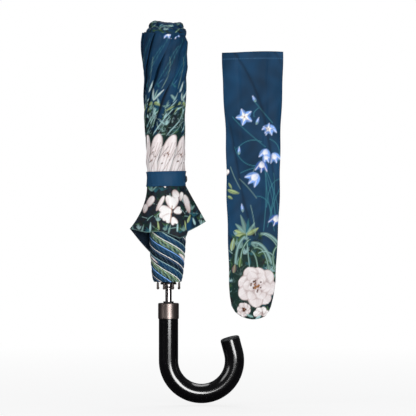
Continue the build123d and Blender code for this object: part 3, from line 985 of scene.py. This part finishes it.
@dataclass
class Strap:
    """The tie strap: a hemmed satin band round the roll, with a tab that snaps shut."""

    low: float = 152.6
    high: float = 167.6
    rows: int = 22
    snap_turn: float = 28.0  # degrees, where the stud sits round the roll
    snap_z: float = 160.0
    snap_proud: float = 2.6  # how far the stud's foot stands off the roll
    # (radius, height) of the stud's cap, from its middle to its rim
    snap_profile: tuple[Point, ...] = (
        (0.05, 0.75), (1.2, 0.72), (2.2, 0.6), (2.9, 0.42), (3.3, 0.62), (3.6, 0.62), (3.7, 0.35),
        (3.6, 0.05), (3.3, -0.2),
    )
    roll: RolledCanopy = field(default_factory=RolledCanopy)

    def ring(self, start: float, end: float, columns: int, proud: float) -> Array:
        """A band over part of the roll.

        Args:
            start: first angle in degrees.
            end: last angle in degrees.
            columns: points round it.
            proud: how far it stands off the roll, in millimetres.

        Returns:
            rows x columns x 3 points.
        """
        theta = np.radians(np.linspace(start, end, columns))[None, :]
        t = np.linspace(0, 1, self.rows)[:, None]
        z = self.high + (self.low - self.high) * t
        middle, half = self.roll.edges(z)
        # the band is drawn in at its middle, waves a little, and is thicker along both hems
        waves = 0.14 * np.sin(7 * theta + 5 * t) + 0.1 * np.sin(17 * theta - 3 * t)
        pull = proud - 0.35 * np.sin(math.pi * t) + waves + 0.28 * (hump(t, 0.06, 0.05) + hump(t, 0.94, 0.05))
        x = middle + (half + pull) * np.cos(theta)
        y = (self.roll.depth(z) + pull) * np.sin(theta)
        return grid(x, y, z + 0.45 * np.cos(theta))

    def piece(self, name: str, points: Array, length: float, closed: bool) -> Object:
        """Makes a plain cloth piece of the strap from its points and its flat length."""
        flat = grid(np.linspace(0, length, points.shape[1])[None, :], points[..., 2])
        return cloth_object(name, points, flat, closed=closed)

    def band(self) -> Object:
        """The band, all the way round."""
        return self.piece("strap_loop", self.ring(0, 358.2, 200, 0.95), 115, True)

    def tab(self) -> Object:
        """The free end, lying over the band at the back."""
        points = self.ring(22, 74, 40, 1.75)
        t = np.linspace(0, 1, 40)[None, :, None]
        middle = points[:, :, 2:].mean(axis=0, keepdims=True)
        taper = 1 - 0.35 * (1 - np.clip(t / 0.16, 0, 1)) ** 2
        points[:, :, 2:] = middle + (points[:, :, 2:] - middle) * taper * 0.96
        return self.piece("strap_tab_cloth", points, 17, False)

    def snap(self) -> Object:
        """The sprung press-stud cap near the tab's end: a domed, rimmed disc."""
        radius, rise = np.array(self.snap_profile).T[:, :, None]
        theta = around_ring(40)[None, :]
        at = math.radians(self.snap_turn)
        c, s = math.cos(at), math.sin(at)
        middle, half = self.roll.edges(np.array(self.snap_z))
        side = radius * np.cos(theta)
        x = middle + (half + self.snap_proud) * c + rise * c - side * s
        y = (self.roll.depth(self.snap_z) + self.snap_proud) * s + rise * s + side * c
        points = grid(x, y, self.snap_z + 0.1 + radius * np.sin(theta))
        return cloth_object("strap_snap", points, points[..., :2])


# ================= the loose sleeve =================
@dataclass
class Sleeve:
    """The umbrella's matching cover: a flat tube of cloth with a hemmed mouth and a rounded foot."""

    columns: int = 276
    rows: int = 330
    top_z: float = 287.0
    foot_z: float = 19.6
    middle_x: float = 84.0
    hem_z: float = 280.0
    # (height, left edge, right edge)
    outline: tuple[Place, ...] = (
        (287, 53.7, 114.4), (249, 54.6, 113.8), (210, 56.6, 112.6), (170, 58.0, 111.4), (129, 58.6, 110.6),
        (81, 59.6, 108.6), (57, 60.6, 106.8), (42, 61.6, 104.6), (33, 63.0, 102.6), (27, 66.6, 100.2),
        (22.5, 72.6, 96.6), (20.4, 78.6, 91.0), (19.6, 83.4, 86.4),
    )

    def make(self) -> Object:
        """Builds and prints the sleeve."""
        fall = np.linspace(0, 1, self.rows)[:, None]
        z = self.top_z - (self.top_z - self.foot_z) * (1 - (1 - fall) ** 1.04)
        phi = around_ring(self.columns)[None, :]
        middle, half = span(self.outline, z)
        c, s = np.cos(phi), np.sin(phi)
        across = np.sign(c) * np.abs(c) ** 0.92
        full = np.interp(z, (19.6, 24, 60, 200, 287), (0.25, 1.2, 2.6, 3.0, 3.3))
        belly = full * np.sign(s) * (1 - np.abs(across) ** 3.2) ** 0.8
        side = np.where(s > 0, 1.9, 0.0)
        # soft swellings over the whole face, then slack folds above the foot
        soft = 0.8 * np.sin(z / 31 + 1.3 * across + side) + 0.55 * np.sin(z / 13 + 3.1 * across + 2 * side)
        soft = soft + 0.4 * np.sin(z / 5.1 - 5.3 * across + side) * np.sin(z / 47 + 2)
        slack = np.abs(np.sin(z / 23 + 2.4 * across + 1.7 * np.sin(z / 57) + side))
        soft = soft + 1.1 * (slack**0.45 - 0.8) * smoothstep(70, 120, z)
        # small puckers along the side seams, and two long creases
        gather = 0.35 * np.sin(26 * across + z / 9) * hump(np.abs(across), 1, 0.10)
        crease = 0.55 * hump(across - 0.0016 * (z - 150), 0.32, 0.05) * smoothstep(60, 120, z)
        crease = crease + 0.45 * hump(across + 0.0010 * (z - 210), -0.42, 0.06) * smoothstep(150, 230, z)
        outwards = np.sign(s) * (np.abs(s) > TINY)
        calm = (1 - np.abs(across) ** 6) * smoothstep(19.6, 40, z)
        hem = 0.3 * (smoothstep(279.6, 280.2, z) - 0.5 * hump(z, self.hem_z, 0.9))
        y = belly + outwards * ((soft + gather - crease) * calm + hem * (1 - np.abs(across) ** 8))
        wobble = 0.35 * np.sin(z / 19) + 0.25 * np.sin(z / 7.3 + 1)
        x = middle + (half + wobble * smoothstep(25, 60, z)) * across
        drop = 0.7 * smoothstep(270, 287, z) * np.sin(2.2 * across + 0.5)
        flat = grid(np.where(s > 0, BACK - (x - self.middle_x), x - self.middle_x), z)
        cloth = Cloth(flat)
        for face, seed in ((0.0, 31), (BACK, 32)):
            cloth.begin(face, seed)
            self.print_foot(cloth)
            self.print_bells(cloth)
        # painted shade in the hollows of the slack folds, above the foot
        crease_shade = 0.4 * hump(slack, 0, 0.13) * calm * smoothstep(85, 120, z)
        cloth.inks *= (1 - crease_shade.ravel())[:, None]
        stitch = np.abs(np.sin(cloth.u * 1.4)) > 0.45
        cloth.line((np.abs(cloth.v - self.hem_z) < 0.45) & stitch, 0.6, SKY)
        return cloth_object("sleeve_cover", grid(x, y, z + drop), flat, cloth)

    def print_bells(self, cloth: Cloth) -> None:
        """Prints bellflowers and buds on thin stems over the upper part of one face."""
        for start, bend, end in (
            ((1.5, 238), (8, 230), (20, 216)),
            ((-20, 222), (-10, 210), (13, 192)),
            ((-16, 190), (-4, 203), (9, 197)),
            ((-18, 192), (-12, 172), (6, 173)),
            ((-12, 166), (0, 172), (10, 172)),
            ((-13, 160), (-4, 152), (4, 141)),
            ((13, 166), (15, 145), (11, 108)),
            ((17, 200), (30, 195), (26, 178)),
            ((4, 143), (18, 143), (20, 120)),
            ((27, 160), (16, 158), (14, 132)),
            ((27, 150), (20, 135), (15, 112)),
            ((8, 178), (4, 176), (-2, 161)),
            ((2, 222), (-1, 226), (6, 231)),
            ((-12, 150), (-18, 160), (-22, 172)),
            ((-2, 134), (2, 118), (3, 104)),
            ((21, 166), (24, 150), (18, 128)),
        ):
            cloth.stem(start, bend, end, 0.5, TEAL * 1.5 if end[0] > 5 else SAGE)
        cloth.star((-8, 222), 9.0, 40)
        thin = 0.4, TEAL * 1.3
        each(
            cloth.stem,
            ((12, 172), (24, 150), (22, 120), *thin),
            ((12, 172), (20, 140), (25, 116), *thin),
            ((12, 172), (16, 130), (22, 108), *thin),
            ((12, 172), (27, 140), (26, 118), *thin),
        )
        cloth.petal((-29, 163), 50, 8, 4.5, WHITE)
        each(
            cloth.bell,
            ((16.5, 214), -75, 11),
            ((16.5, 214), -115, 9),
            ((13.5, 190), -100, 11),
            ((12, 184), -60, 9),
            ((20.5, 186), -70, 11),
            ((5.5, 165), -135, 14),
            ((9.5, 178), -95, 12, BELL_DEEP),
            ((25, 124), -110, 12, BELL_DEEP),
        )
        cloth.star((16, 210), 6.0, 12)
        for at, heading, length in (
            ((3.2, 237.0), 118, 7.5),
            ((3.8, 214.5), 70, 7.5),
            ((-13.5, 184.5), 88, 8),
            ((-9.5, 127), 100, 8.5),
        ):
            cloth.leaf(at, heading, length, 2.8, BELL, WHITE)
            cloth.leaf(at, heading, length * 0.4, 2.2, SAGE)
        each(
            cloth.leaf,
            ((-25, 149), -22, 12.5, 3.6, LIME, MOSS, 0.1),
            ((-25, 143), -30, 6, 2.2, LIME, MOSS),
            ((-24, 156), -60, 7, 1.8, LIME, MOSS),
        )

    def print_foot(self, cloth: Cloth) -> None:
        """Prints the leafy plant, the peony and the ground at the foot of one face."""
        cloth.ground(96, 70, PINE * 0.7, -40, 40)
        cloth.foliage((-27, 16), (25, 84), 150, 9, PINE, PINE * 0.6, TEAL * 0.55, DEEP, MOSS * 0.5)
        cloth.foliage((-27, 18), (25, 76), 30, 8, TEAL * 0.5, OLIVE_BLACK, MOSS * 0.5)
        cloth.sprigs((-27, 18), (26, 78), 84)
        cloth.ground(112, 84, PINE * 0.55, -20, 10)
        cloth.sprigs((-22, 72), (12, 106), 34)
        for heading, length, wide, colour in (
            (152, 13, 5.4, LIME),
            (128, 16, 4.6, SAGE),
            (100, 21, 4.4, SAGE * 0.8),
            (76, 17, 4.0, TEAL),
            (50, 15, 3.6, SAGE * 1.1),
            (24, 14, 4.4, LIME * 0.9),
            (175, 11, 4.6, LIME),
            (205, 11, 4.4, MOSS),
        ):
            cloth.leaf((-6.0, 104.0), heading, length, wide, colour * 0.8, colour * 1.3, 0.12)
        for start, bend, end, wide in (
            ((-6, 106), (-5, 88), (-3, 72), 1.1),
            ((-8, 102), (-16, 96), (-17, 76), 2.6),
            ((-4, 99), (-14, 88), (-11, 74), 2.2),
            ((0, 96), (12, 98), (19, 76), 3.0),
            ((2, 91), (13, 94), (16, 70), 2.2),
            ((-1, 88), (4, 84), (5, 72), 1.6),
            ((9, 105), (18, 107), (27, 94), 2.6),
            ((9, 105), (20, 103), (26, 90), 1.2),
            ((24, 92), (18, 86), (22, 70), 2.4),
            ((6, 86), (14, 90), (20, 84), 0.9),
        ):
            cloth.stem(start, bend, end, wide, MOSS * 0.8 if wide < 2.5 else SAGE * 0.8)
            cloth.stem(start, bend, end, 0.5, PALE_TEAL)
        each(
            cloth.leaf,
            ((-21, 88), 80, 13, 4.4, LIME * 0.8, PALE_TEAL),
            ((-13, 72), 85, 10, 4.2, MOSS, LIME),
            ((-19, 66), 80, 9, 4.0, MAUVE * 0.5, LIME),
        )
        each(cloth.peony, ((4.2, 53), 20.5), ((-8.5, 29.5), 7.5))
        cloth.specks((-8.5, 29.5), 1.8, 10, 0.7, BROWN)
        for heading in (20, 70, 120, 165):
            cloth.petal((9, 24), heading, 8.5, 6.5, WHITE)
        cloth.specks((10, 26), 1.4, 5, 0.5, BROWN)
        each(cloth.leaf, ((1, 22), 160, 8, 2.4, SAGE, PALE_TEAL), ((3, 20), 30, 7, 2.2, PALE_TEAL))


# ================= the crook's tip =================
@dataclass
class HandleTip:
    """The crook's domed end plug, with a fine parting groove where it meets the lacquered bar."""

    at: Place = (61.64, 0.0, -0.886)
    way: Place = (-0.2588, 0.0, 0.9659)
    # (radius, distance past the bar's end)
    profile: tuple[Point, ...] = (
        (9.45, -0.1), (9.45, 0.15), (9.68, 0.3), (9.66, 0.8), (9.45, 1.5), (9.0, 2.15),
        (8.3, 2.6), (7.3, 2.9), (6.0, 3.12), (4.0, 3.3), (2.0, 3.38), (0.4, 3.4),
    )

    def make(self) -> Object:
        """Builds the plug."""
        axis, side = Vector(self.way).normalized(), Vector((0, 1, 0))
        up = side.cross(axis)
        radius, past = np.array(self.profile).T[:, :, None, None]
        theta = around_ring(72)[None, :, None]
        out = np.array(side) * np.cos(theta) + np.array(up) * np.sin(theta)
        points = np.array(self.at) + np.array(axis) * past + out * radius
        return cloth_object("handle_tip", points, points[..., :2])


# ================= the canopy's panels when open =================
class Ring(Enum):
    """The three bands of the open canopy, each carried by one fold of the ribs."""

    TOP = "top"
    MID = "mid"
    EDGE = "edge"


RIB_BODY = {Ring.TOP: "inner_rib", Ring.MID: "middle_rib", Ring.EDGE: "outer_rib"}
FAN_COLUMNS = {Ring.TOP: 150, Ring.MID: 220, Ring.EDGE: 340}


class OpenFrame:
    """Where the ribs stand when the umbrella is fully open, from the model's own joints."""

    def __init__(self) -> None:
        """Reads the joints and how far each turns at the runner's upper limit."""
        behaviour = frame["record"]["behaviour"]
        self.joints = {joint["child"]: joint for joint in behaviour["joints"]}
        self.ratios = {c["joint"]: c["ratio"] for c in behaviour["couplings"]}
        self.travel = next(j["range_m"][1] for j in behaviour["joints"] if j["name"] == "runner_slide")

    def matrix(self, body: str) -> Array:
        """The 4x4 move of a body from rest to open, in metres, with the outer tube at rest."""
        if body == "outer_tube":
            return np.eye(4)
        joint = self.joints[body]
        turn = self.ratios[joint["name"]] * self.travel
        axis = np.array(joint["axis"], float)
        axis = axis / np.linalg.norm(axis)
        skew = np.array([[0, -axis[2], axis[1]], [axis[2], 0, -axis[0]], [-axis[1], axis[0], 0]])
        move = np.eye(4)
        move[:3, :3] = np.eye(3) + math.sin(turn) * skew + (1 - math.cos(turn)) * skew @ skew
        pivot = np.array(joint["pos_m"], float)
        move[:3, 3] = pivot - move[:3, :3] @ pivot
        return self.matrix(joint["parent"]) @ move


def polar(radius: float, degrees: float) -> Point:
    """The plan place at a radius and azimuth."""
    return radius * math.cos(math.radians(degrees)), radius * math.sin(math.radians(degrees))


@dataclass
class SpreadPanels:
    """Six fans of canopy cloth, folded flat along two ribs at rest, worked back from where the open ribs hold
    the domed canopy.
    """

    gores: int = 8
    first_rib: float = 22.5
    fan_turn: float = 179.8  # degrees that one fan spreads
    half_fold: float = 1.0  # half the folded fan's width
    sag: float = 6.0  # how far the cloth dips between ribs at the hem
    scallop: float = 36.0  # how far the hem curves in between rib tips
    above: float = 1.7  # the cloth's height over the ribs' faces
    crown: float = 11.6  # the cloth's inner radius
    past_elbow: float = 4.5
    row_step: float = 4.5
    open_frame: OpenFrame = field(default_factory=OpenFrame)

    def face_line(self) -> Array:
        """The open ribs' upper faces, from the crown to the tips, as (radius, height) in millimetres."""
        place = []
        for body, spots in (
            ("inner_rib_1", ((9.7, 289), (9.7, 240), (9.7, 190), (9.7, 156))),
            ("middle_rib_1", ((11.1, 157), (11.1, 205), (11.1, 255), (11.1, 305))),
            ("outer_rib_1", ((15.3, 303), (15.3, 250), (15.3, 195), (15.3, 142), (13.6, 96), (12.2, 57))),
        ):
            move = self.open_frame.matrix(body)
            for radius, z in spots:
                at = move @ np.array([*polar(radius * MM, self.first_rib), z * MM, 1])
                place.append((math.hypot(at[0], at[1]) / MM, at[2] / MM))
        return np.array(place)

    def limits(self, ring: Ring) -> tuple[float, float]:
        """The ring's inner and outer radius."""
        line = self.face_line()
        inner_elbow, outer_elbow = line[3, 0] + self.past_elbow, line[7, 0] + self.past_elbow
        return {
            Ring.TOP: (self.crown, inner_elbow),
            Ring.MID: (inner_elbow, outer_elbow),
            Ring.EDGE: (outer_elbow, line[-1, 0]),
        }[ring]

    def dome(self, share: Array, turn: Array, ring: Ring) -> tuple[Array, Array]:
        """Points of the open canopy.

        Args:
            share: 0 at the ring's inner radius and 1 at its outer.
            turn: azimuth in degrees.
            ring: which band.

        Returns:
            The points' radii and heights.
        """
        inner, outer = self.limits(ring)
        between = np.abs(np.sin(np.radians((turn - self.first_rib) * self.gores / 2)))
        cut = outer - (self.scallop if ring is Ring.EDGE else 0) * between**1.4
        radius = inner + (cut - inner) * share
        line = self.face_line()
        knots = np.linspace(line[0, 0], line[-1, 0], 240)
        heights = np.interp(knots, line[:, 0], line[:, 1])
        smooth(heights, 25)
        over_rib = np.interp(radius, knots, heights + self.above)
        return radius, over_rib - self.sag * between**0.9 * (radius / 500) ** 0.8

    def make(self, ring: Ring, letter: str, rib: int) -> Object:
        """Builds one fan in its folded place and prints it.

        Args:
            ring: which band of the canopy.
            letter: the fan's letter in its body's name.
            rib: the number of the rib that it spreads from.

        Returns:
            The fan.
        """
        inner, outer = self.limits(ring)
        spread = np.linspace(0, 1, FAN_COLUMNS[ring])[None, :]
        share = np.linspace(0, 1, int((outer - inner) / self.row_step))[:, None]
        start = self.first_rib + 360 / self.gores * (rib - 1)
        turn = start + self.fan_turn * spread + 0 * share
        radius, height = self.dome(share, turn, ring)
        c, s = polar(1, start)
        in_plane = grid(radius * c, radius * s, height, 1 / MM) * MM
        back = np.linalg.inv(self.open_frame.matrix(f"{RIB_BODY[ring]}_{rib}"))
        rest = (in_plane @ back.T)[..., :3] / MM
        # the share across the fold at which a smooth ramp gives each point its part of the turn
        t = 0.5 - np.sin(np.arcsin(1 - 2 * spread) / 3)
        aside = (2 * t - 1) * self.half_fold + 0 * share
        rest = rest + aside[..., None] * np.array([-s, c, 0])
        where = np.radians(turn)
        flat = grid(radius * np.cos(where), radius * np.sin(where))
        return cloth_object(f"canopy_{ring.value}_fan_{letter}", rest, flat, self.printed(flat), closed=False)

    def printed(self, flat: Array) -> Cloth:
        """Prints open cloth, flat in plan: navy at the crown, then bellflowers, and peonies at the hem."""
        cloth = Cloth(flat, edge=1.6)
        cloth.inks = NAVY * (0.9 + 0.2 * np.sin(cloth.u / 70) * np.sin(cloth.v / 90))[:, None]
        out = np.hypot(cloth.u, cloth.v)
        cloth.lay(np.arange(len(out)), 0.9 * smoothstep(330, 430, out), PINE * 0.6)
        cloth.begin(0, 51)
        draw = cloth.chance.uniform
        greens = (PINE, TEAL * 0.7, MOSS, SAGE * 0.8, OLIVE_BLACK)
        for gore in range(self.gores):
            middle = self.first_rib + 360 / self.gores * (gore + 0.5)
            for _ in range(46):
                turn, far, length = middle + draw(-22, 22), draw(350, 500), draw(22, 46)
                colour = greens[cloth.chance.integers(5)]
                heading = turn + 180 + draw(-70, 70)
                cloth.leaf(polar(far, turn), heading, length, length * 0.26, colour, PALE_TEAL * 0.8)
            for lean in (-15, -6, 4, 14):
                cloth.leaf(polar(388, middle + lean), middle + 180 - lean, 70, 15, SAGE, PALE_TEAL, 0.1)
            for lean, far in ((-12, 235), (2, 200), (13, 250)):
                bend, end = polar(310, middle + lean * 1.6), polar(far, middle + lean)
                cloth.stem(polar(385, middle + lean * 0.5), bend, end, 2.2, TEAL)
                cloth.bell(polar(far + 4, middle + lean), middle + lean + 25, 34)
            cloth.star(polar(290, middle - 15), 20, 10 * gore)
            for far, lean, radius in ((432, 0, 42), (405, 13.5, 25), (462, -12, 20)):
                cloth.peony(polar(far, middle + lean), radius)
        return cloth


# ================= dressing the frame's own parts =================
FINISHES = {
    "lacquer": GlossLacquer("black_gloss_lacquer", "#040305", 0.2),
    "tip": MouldedPlastic("moulded_end_plug", "#26282a", 0.38),
    "collar": LinedMetal("brushed_black_nickel", "#a59792", 0.36, 1.0),
    "tube": LinedMetal("drawn_chromed_steel", "#cfc8c8", 0.2, 1.0, along=True),
    "plastic": MouldedPlastic("moulded_black_abs", "#17171a", 0.46),
    "rib": CoatedSteel("coated_rib_steel", "#2b2626", 0.38, 0.85),
    "print": Pongee("printed_satin_pongee", "#1c4263", 0.5),
    "plain": Pongee("plain_navy_pongee", "#1a4669", 0.42, printed=False),
    # the underside is darker than the face: partly the duller back of the printed cloth, partly painted shade
    # for cloth seen from inside and below
    "lining": Pongee("pongee_underside_painted_shade", "#101f2e", 0.62, printed=False),
    "stud": LinedMetal("nickelled_press_stud", "#8f8a86", 0.3, 1.0),
}
# the starts of the parts' names by finish; the longest start that fits a name holds
DRESSED = {
    "lacquer": ("crook_handle", "handle_end_cap"),
    "collar": ("handle_collar",),
    "tube": ("shaft_", "handle_lock_pin", "crown_wire", "runner_wire"),
    "plastic": ("shaft_washer", "outer_tube_mouth_ring", "crown_notch", "top_cap", "runner"),
    "rib": ("inner_rib", "middle_rib", "outer_rib", "stretcher"),
}


def dress_frame(materials: dict[str, Material]) -> None:
    """Gives each carried-over part its finish, from the made materials by finish."""
    starts = {start: finish for finish, names in DRESSED.items() for start in names}
    for name, piece in frame["nodes"].items():
        matches = [start for start in starts if name.startswith(start)]
        if not matches:
            continue
        made = materials[starts[max(matches, key=len)]]
        slots = piece.data.materials
        if not slots:
            slots.append(made)
        for place in range(len(slots)):
            slots[place] = made
        log.info("%s: %s", name, made.name)


# ================= the studio =================
@dataclass
class Studio:
    """A pale floor, soft boxes and a long-lens camera in front of the umbrella and its sleeve."""

    view_x: float = 39.5
    view_z: float = 131.0
    distance: float = 3000.0
    framed: float = 416.0
    floor_z: float = -66.5
    floor_reach: float = 30.0  # metres

    def camera(self) -> None:
        """A long lens at the height of the frame's middle, looking along +Y."""
        data = bpy.data.cameras.new("camera")
        data.sensor_width = 36.0
        data.lens = data.sensor_width * self.distance / self.framed
        data.clip_end = 50.0
        piece = show("camera", data)
        piece.location = (self.view_x * MM, -self.distance * MM, self.view_z * MM)
        piece.rotation_euler = (math.pi / 2, 0, 0)
        bpy.context.scene.camera = piece

    def soft_box(self, name: str, at: Place, size: Point, power: float) -> None:
        """A rectangular lamp that faces the umbrella.

        Args:
            name: the lamp's name.
            at: its place in metres.
            size: its width and height in metres.
            power: its power in watts.
        """
        data = bpy.data.lights.new(name, "AREA")
        data.shape = "RECTANGLE"
        data.size, data.size_y = size
        data.energy = power
        piece = show(name, data)
        piece.location = at
        piece.rotation_euler = (Vector((0.03, 0, 0.13)) - Vector(at)).to_track_quat("-Z", "Y").to_euler()
        piece.visible_camera = False

    def backdrop(self) -> None:
        """White where the camera looks past the floor, and dim where gloss would mirror it."""
        world = bpy.data.worlds.new("studio")
        world.use_nodes = True
        tree = world.node_tree
        tree.nodes.clear()
        path = add(tree, "LightPath").outputs
        seen, soft, dim = (
            add(tree, "Background", {"Color": linear(code), "Strength": strength}).outputs[0]
            for code, strength in (("#ffffff", 1.0), ("#f2f4f8", 0.3), ("#c9ccd2", 0.09))
        )
        cast = add(tree, "MixShader", {}, {0: path["Is Glossy Ray"], 1: soft, 2: dim})
        mixed = add(tree, "MixShader", {}, {0: path["Is Camera Ray"], 1: cast.outputs[0], 2: seen})
        add(tree, "OutputWorld", {}, {"Surface": mixed.outputs[0]})
        bpy.context.scene.world = world
        bpy.context.scene.view_settings.view_transform = "Standard"

    def floor(self) -> None:
        """A pale paper sweep, lying flat, that fades to white away from the umbrella."""
        reach, z = self.floor_reach, self.floor_z * MM
        mesh = bpy.data.meshes.new("floor")
        corners = [(-reach, -reach, z), (reach, -reach, z), (reach, reach, z), (-reach, reach, z)]
        mesh.from_pydata(corners, [], [(0, 1, 2, 3)])
        constants = {"Base Color": linear("#f7f7f7"), "Roughness": 0.95, "Specular IOR Level": 0.1}
        paper, tree, shader = new_material("white_paper", constants)
        place = add(tree, "NewGeometry").outputs["Position"]
        away = add(tree, "VectorMath", {"operation": "LENGTH"}, {0: place}).outputs["Value"]
        near = add(tree, "MapRange", {"From Min": 0.1, "From Max": 1.3, "To Min": 0.8}, {"Value": away})
        path = add(tree, "LightPath").outputs
        links = {0: near.outputs["Result"], 1: path["Is Camera Ray"]}
        seen = add(tree, "Math", {"operation": "MULTIPLY"}, links).outputs["Value"]
        dark = add(tree, "BsdfDiffuse", {"Color": linear("#3a3a3c")}).outputs["BSDF"]
        glow = add(tree, "Emission", {"Color": linear("#ffffff"), "Strength": 1.0}).outputs["Emission"]
        matt = add(tree, "MixShader", {}, {0: path["Is Glossy Ray"], 1: shader.outputs["BSDF"], 2: dark})
        mixed = add(tree, "MixShader", {}, {0: seen, 1: matt.outputs[0], 2: glow})
        tree.links.new(mixed.outputs[0], tree.nodes["Material Output"].inputs["Surface"])
        mesh.materials.append(paper)
        show("floor", mesh)

    def build(self) -> None:
        """Makes the camera, lamps, backdrop and floor."""
        self.camera()
        self.soft_box("key", (0.46, -2.05, 0.06), (1.05, 1.25), 50)
        self.soft_box("fill", (-1.8, -1.1, 0.9), (0.9, 1.2), 10)
        self.soft_box("top", (0.1, 0.9, 2.2), (1.6, 1.6), 18)
        self.backdrop()
        self.floor()


# ================= putting it together =================
CLOTH_THICK = 0.3
STRAP_THICK = 0.45


def hang(piece: Object, body: str, replaced: tuple[str, ...] = (), squash: bool = True) -> None:
    """Fixes a soft piece to a body and hides the nodes that it stands for.

    Args:
        piece: the piece, with its mesh final.
        body: the body that it rides on.
        replaced: the nodes that it stands for.
        squash: whether it gets its own copy of its mesh.
    """
    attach(piece, body)
    if replaced:
        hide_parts(*replaced)
    if squash:
        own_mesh(piece)
    area = sum(polygon.area for polygon in piece.data.polygons)
    log.info("%s: %d faces, %.4f m2", piece.name, len(piece.data.polygons), area)


def build_roll(made: dict[str, Material]) -> None:
    """The rolled canopy, its turned-over top and the skirt below the strap."""
    roll, top, skirt = RolledCanopy().make(), TopRoll().make(), Skirt().make()
    for piece in (roll, top, skirt):
        thicken(piece, CLOTH_THICK, made["print"], made["lining"])
    hang(roll, "outer_tube", ("canopy",))
    hang(top, "outer_tube")
    hang(skirt, "outer_tube")


def build_strap(made: dict[str, Material]) -> None:
    """The tie strap with its tab and press stud."""
    strap = Strap()
    band, tab, snap = strap.band(), strap.tab(), strap.snap()
    for piece in (band, tab):
        thicken(piece, STRAP_THICK, made["plain"], made["plain"])
    snap.data.materials.append(made["stud"])
    hang(band, "outer_tube", ("strap_band",))
    hang(tab, "strap_tab", ("strap_tab",))
    hang(snap, "strap_tab", ("strap_snap_cap",))


def build_sleeve(made: dict[str, Material]) -> None:
    """The loose sleeve beside the umbrella."""
    sleeve = Sleeve().make()
    thicken(sleeve, CLOTH_THICK, made["print"], made["lining"])
    nodes = ("sleeve_front_panel", "sleeve_back_panel", "sleeve_side_seam")
    hang(sleeve, "sleeve", nodes, squash=False)


def build_panels(made: dict[str, Material]) -> None:
    """The six fans of canopy cloth, in their folded places at rest."""
    panels = SpreadPanels()
    for ring in Ring:
        for letter, rib in (("a", 1), ("b", 5)):
            piece = panels.make(ring, letter, rib)
            thicken(piece, CLOTH_THICK, made["print"], made["lining"])
            body = f"{ring.value}_panels_{letter}"
            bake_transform(piece)
            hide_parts(f"canopy_{body}")
            log.info("%s: %d faces", piece.name, len(piece.data.polygons))


def main() -> None:
    logging.basicConfig(level=logging.INFO, format="%(name)s: %(message)s")
    Studio().build()
    made = {name: finish.material() for name, finish in FINISHES.items()}
    dress_frame(made)
    tip = HandleTip().make()
    tip.data.materials.append(made["tip"])
    hang(tip, "handle", ("handle_end_cap",), squash=False)
    build_roll(made)
    build_strap(made)
    build_sleeve(made)
    build_panels(made)


if __name__ == "__main__":
    main()
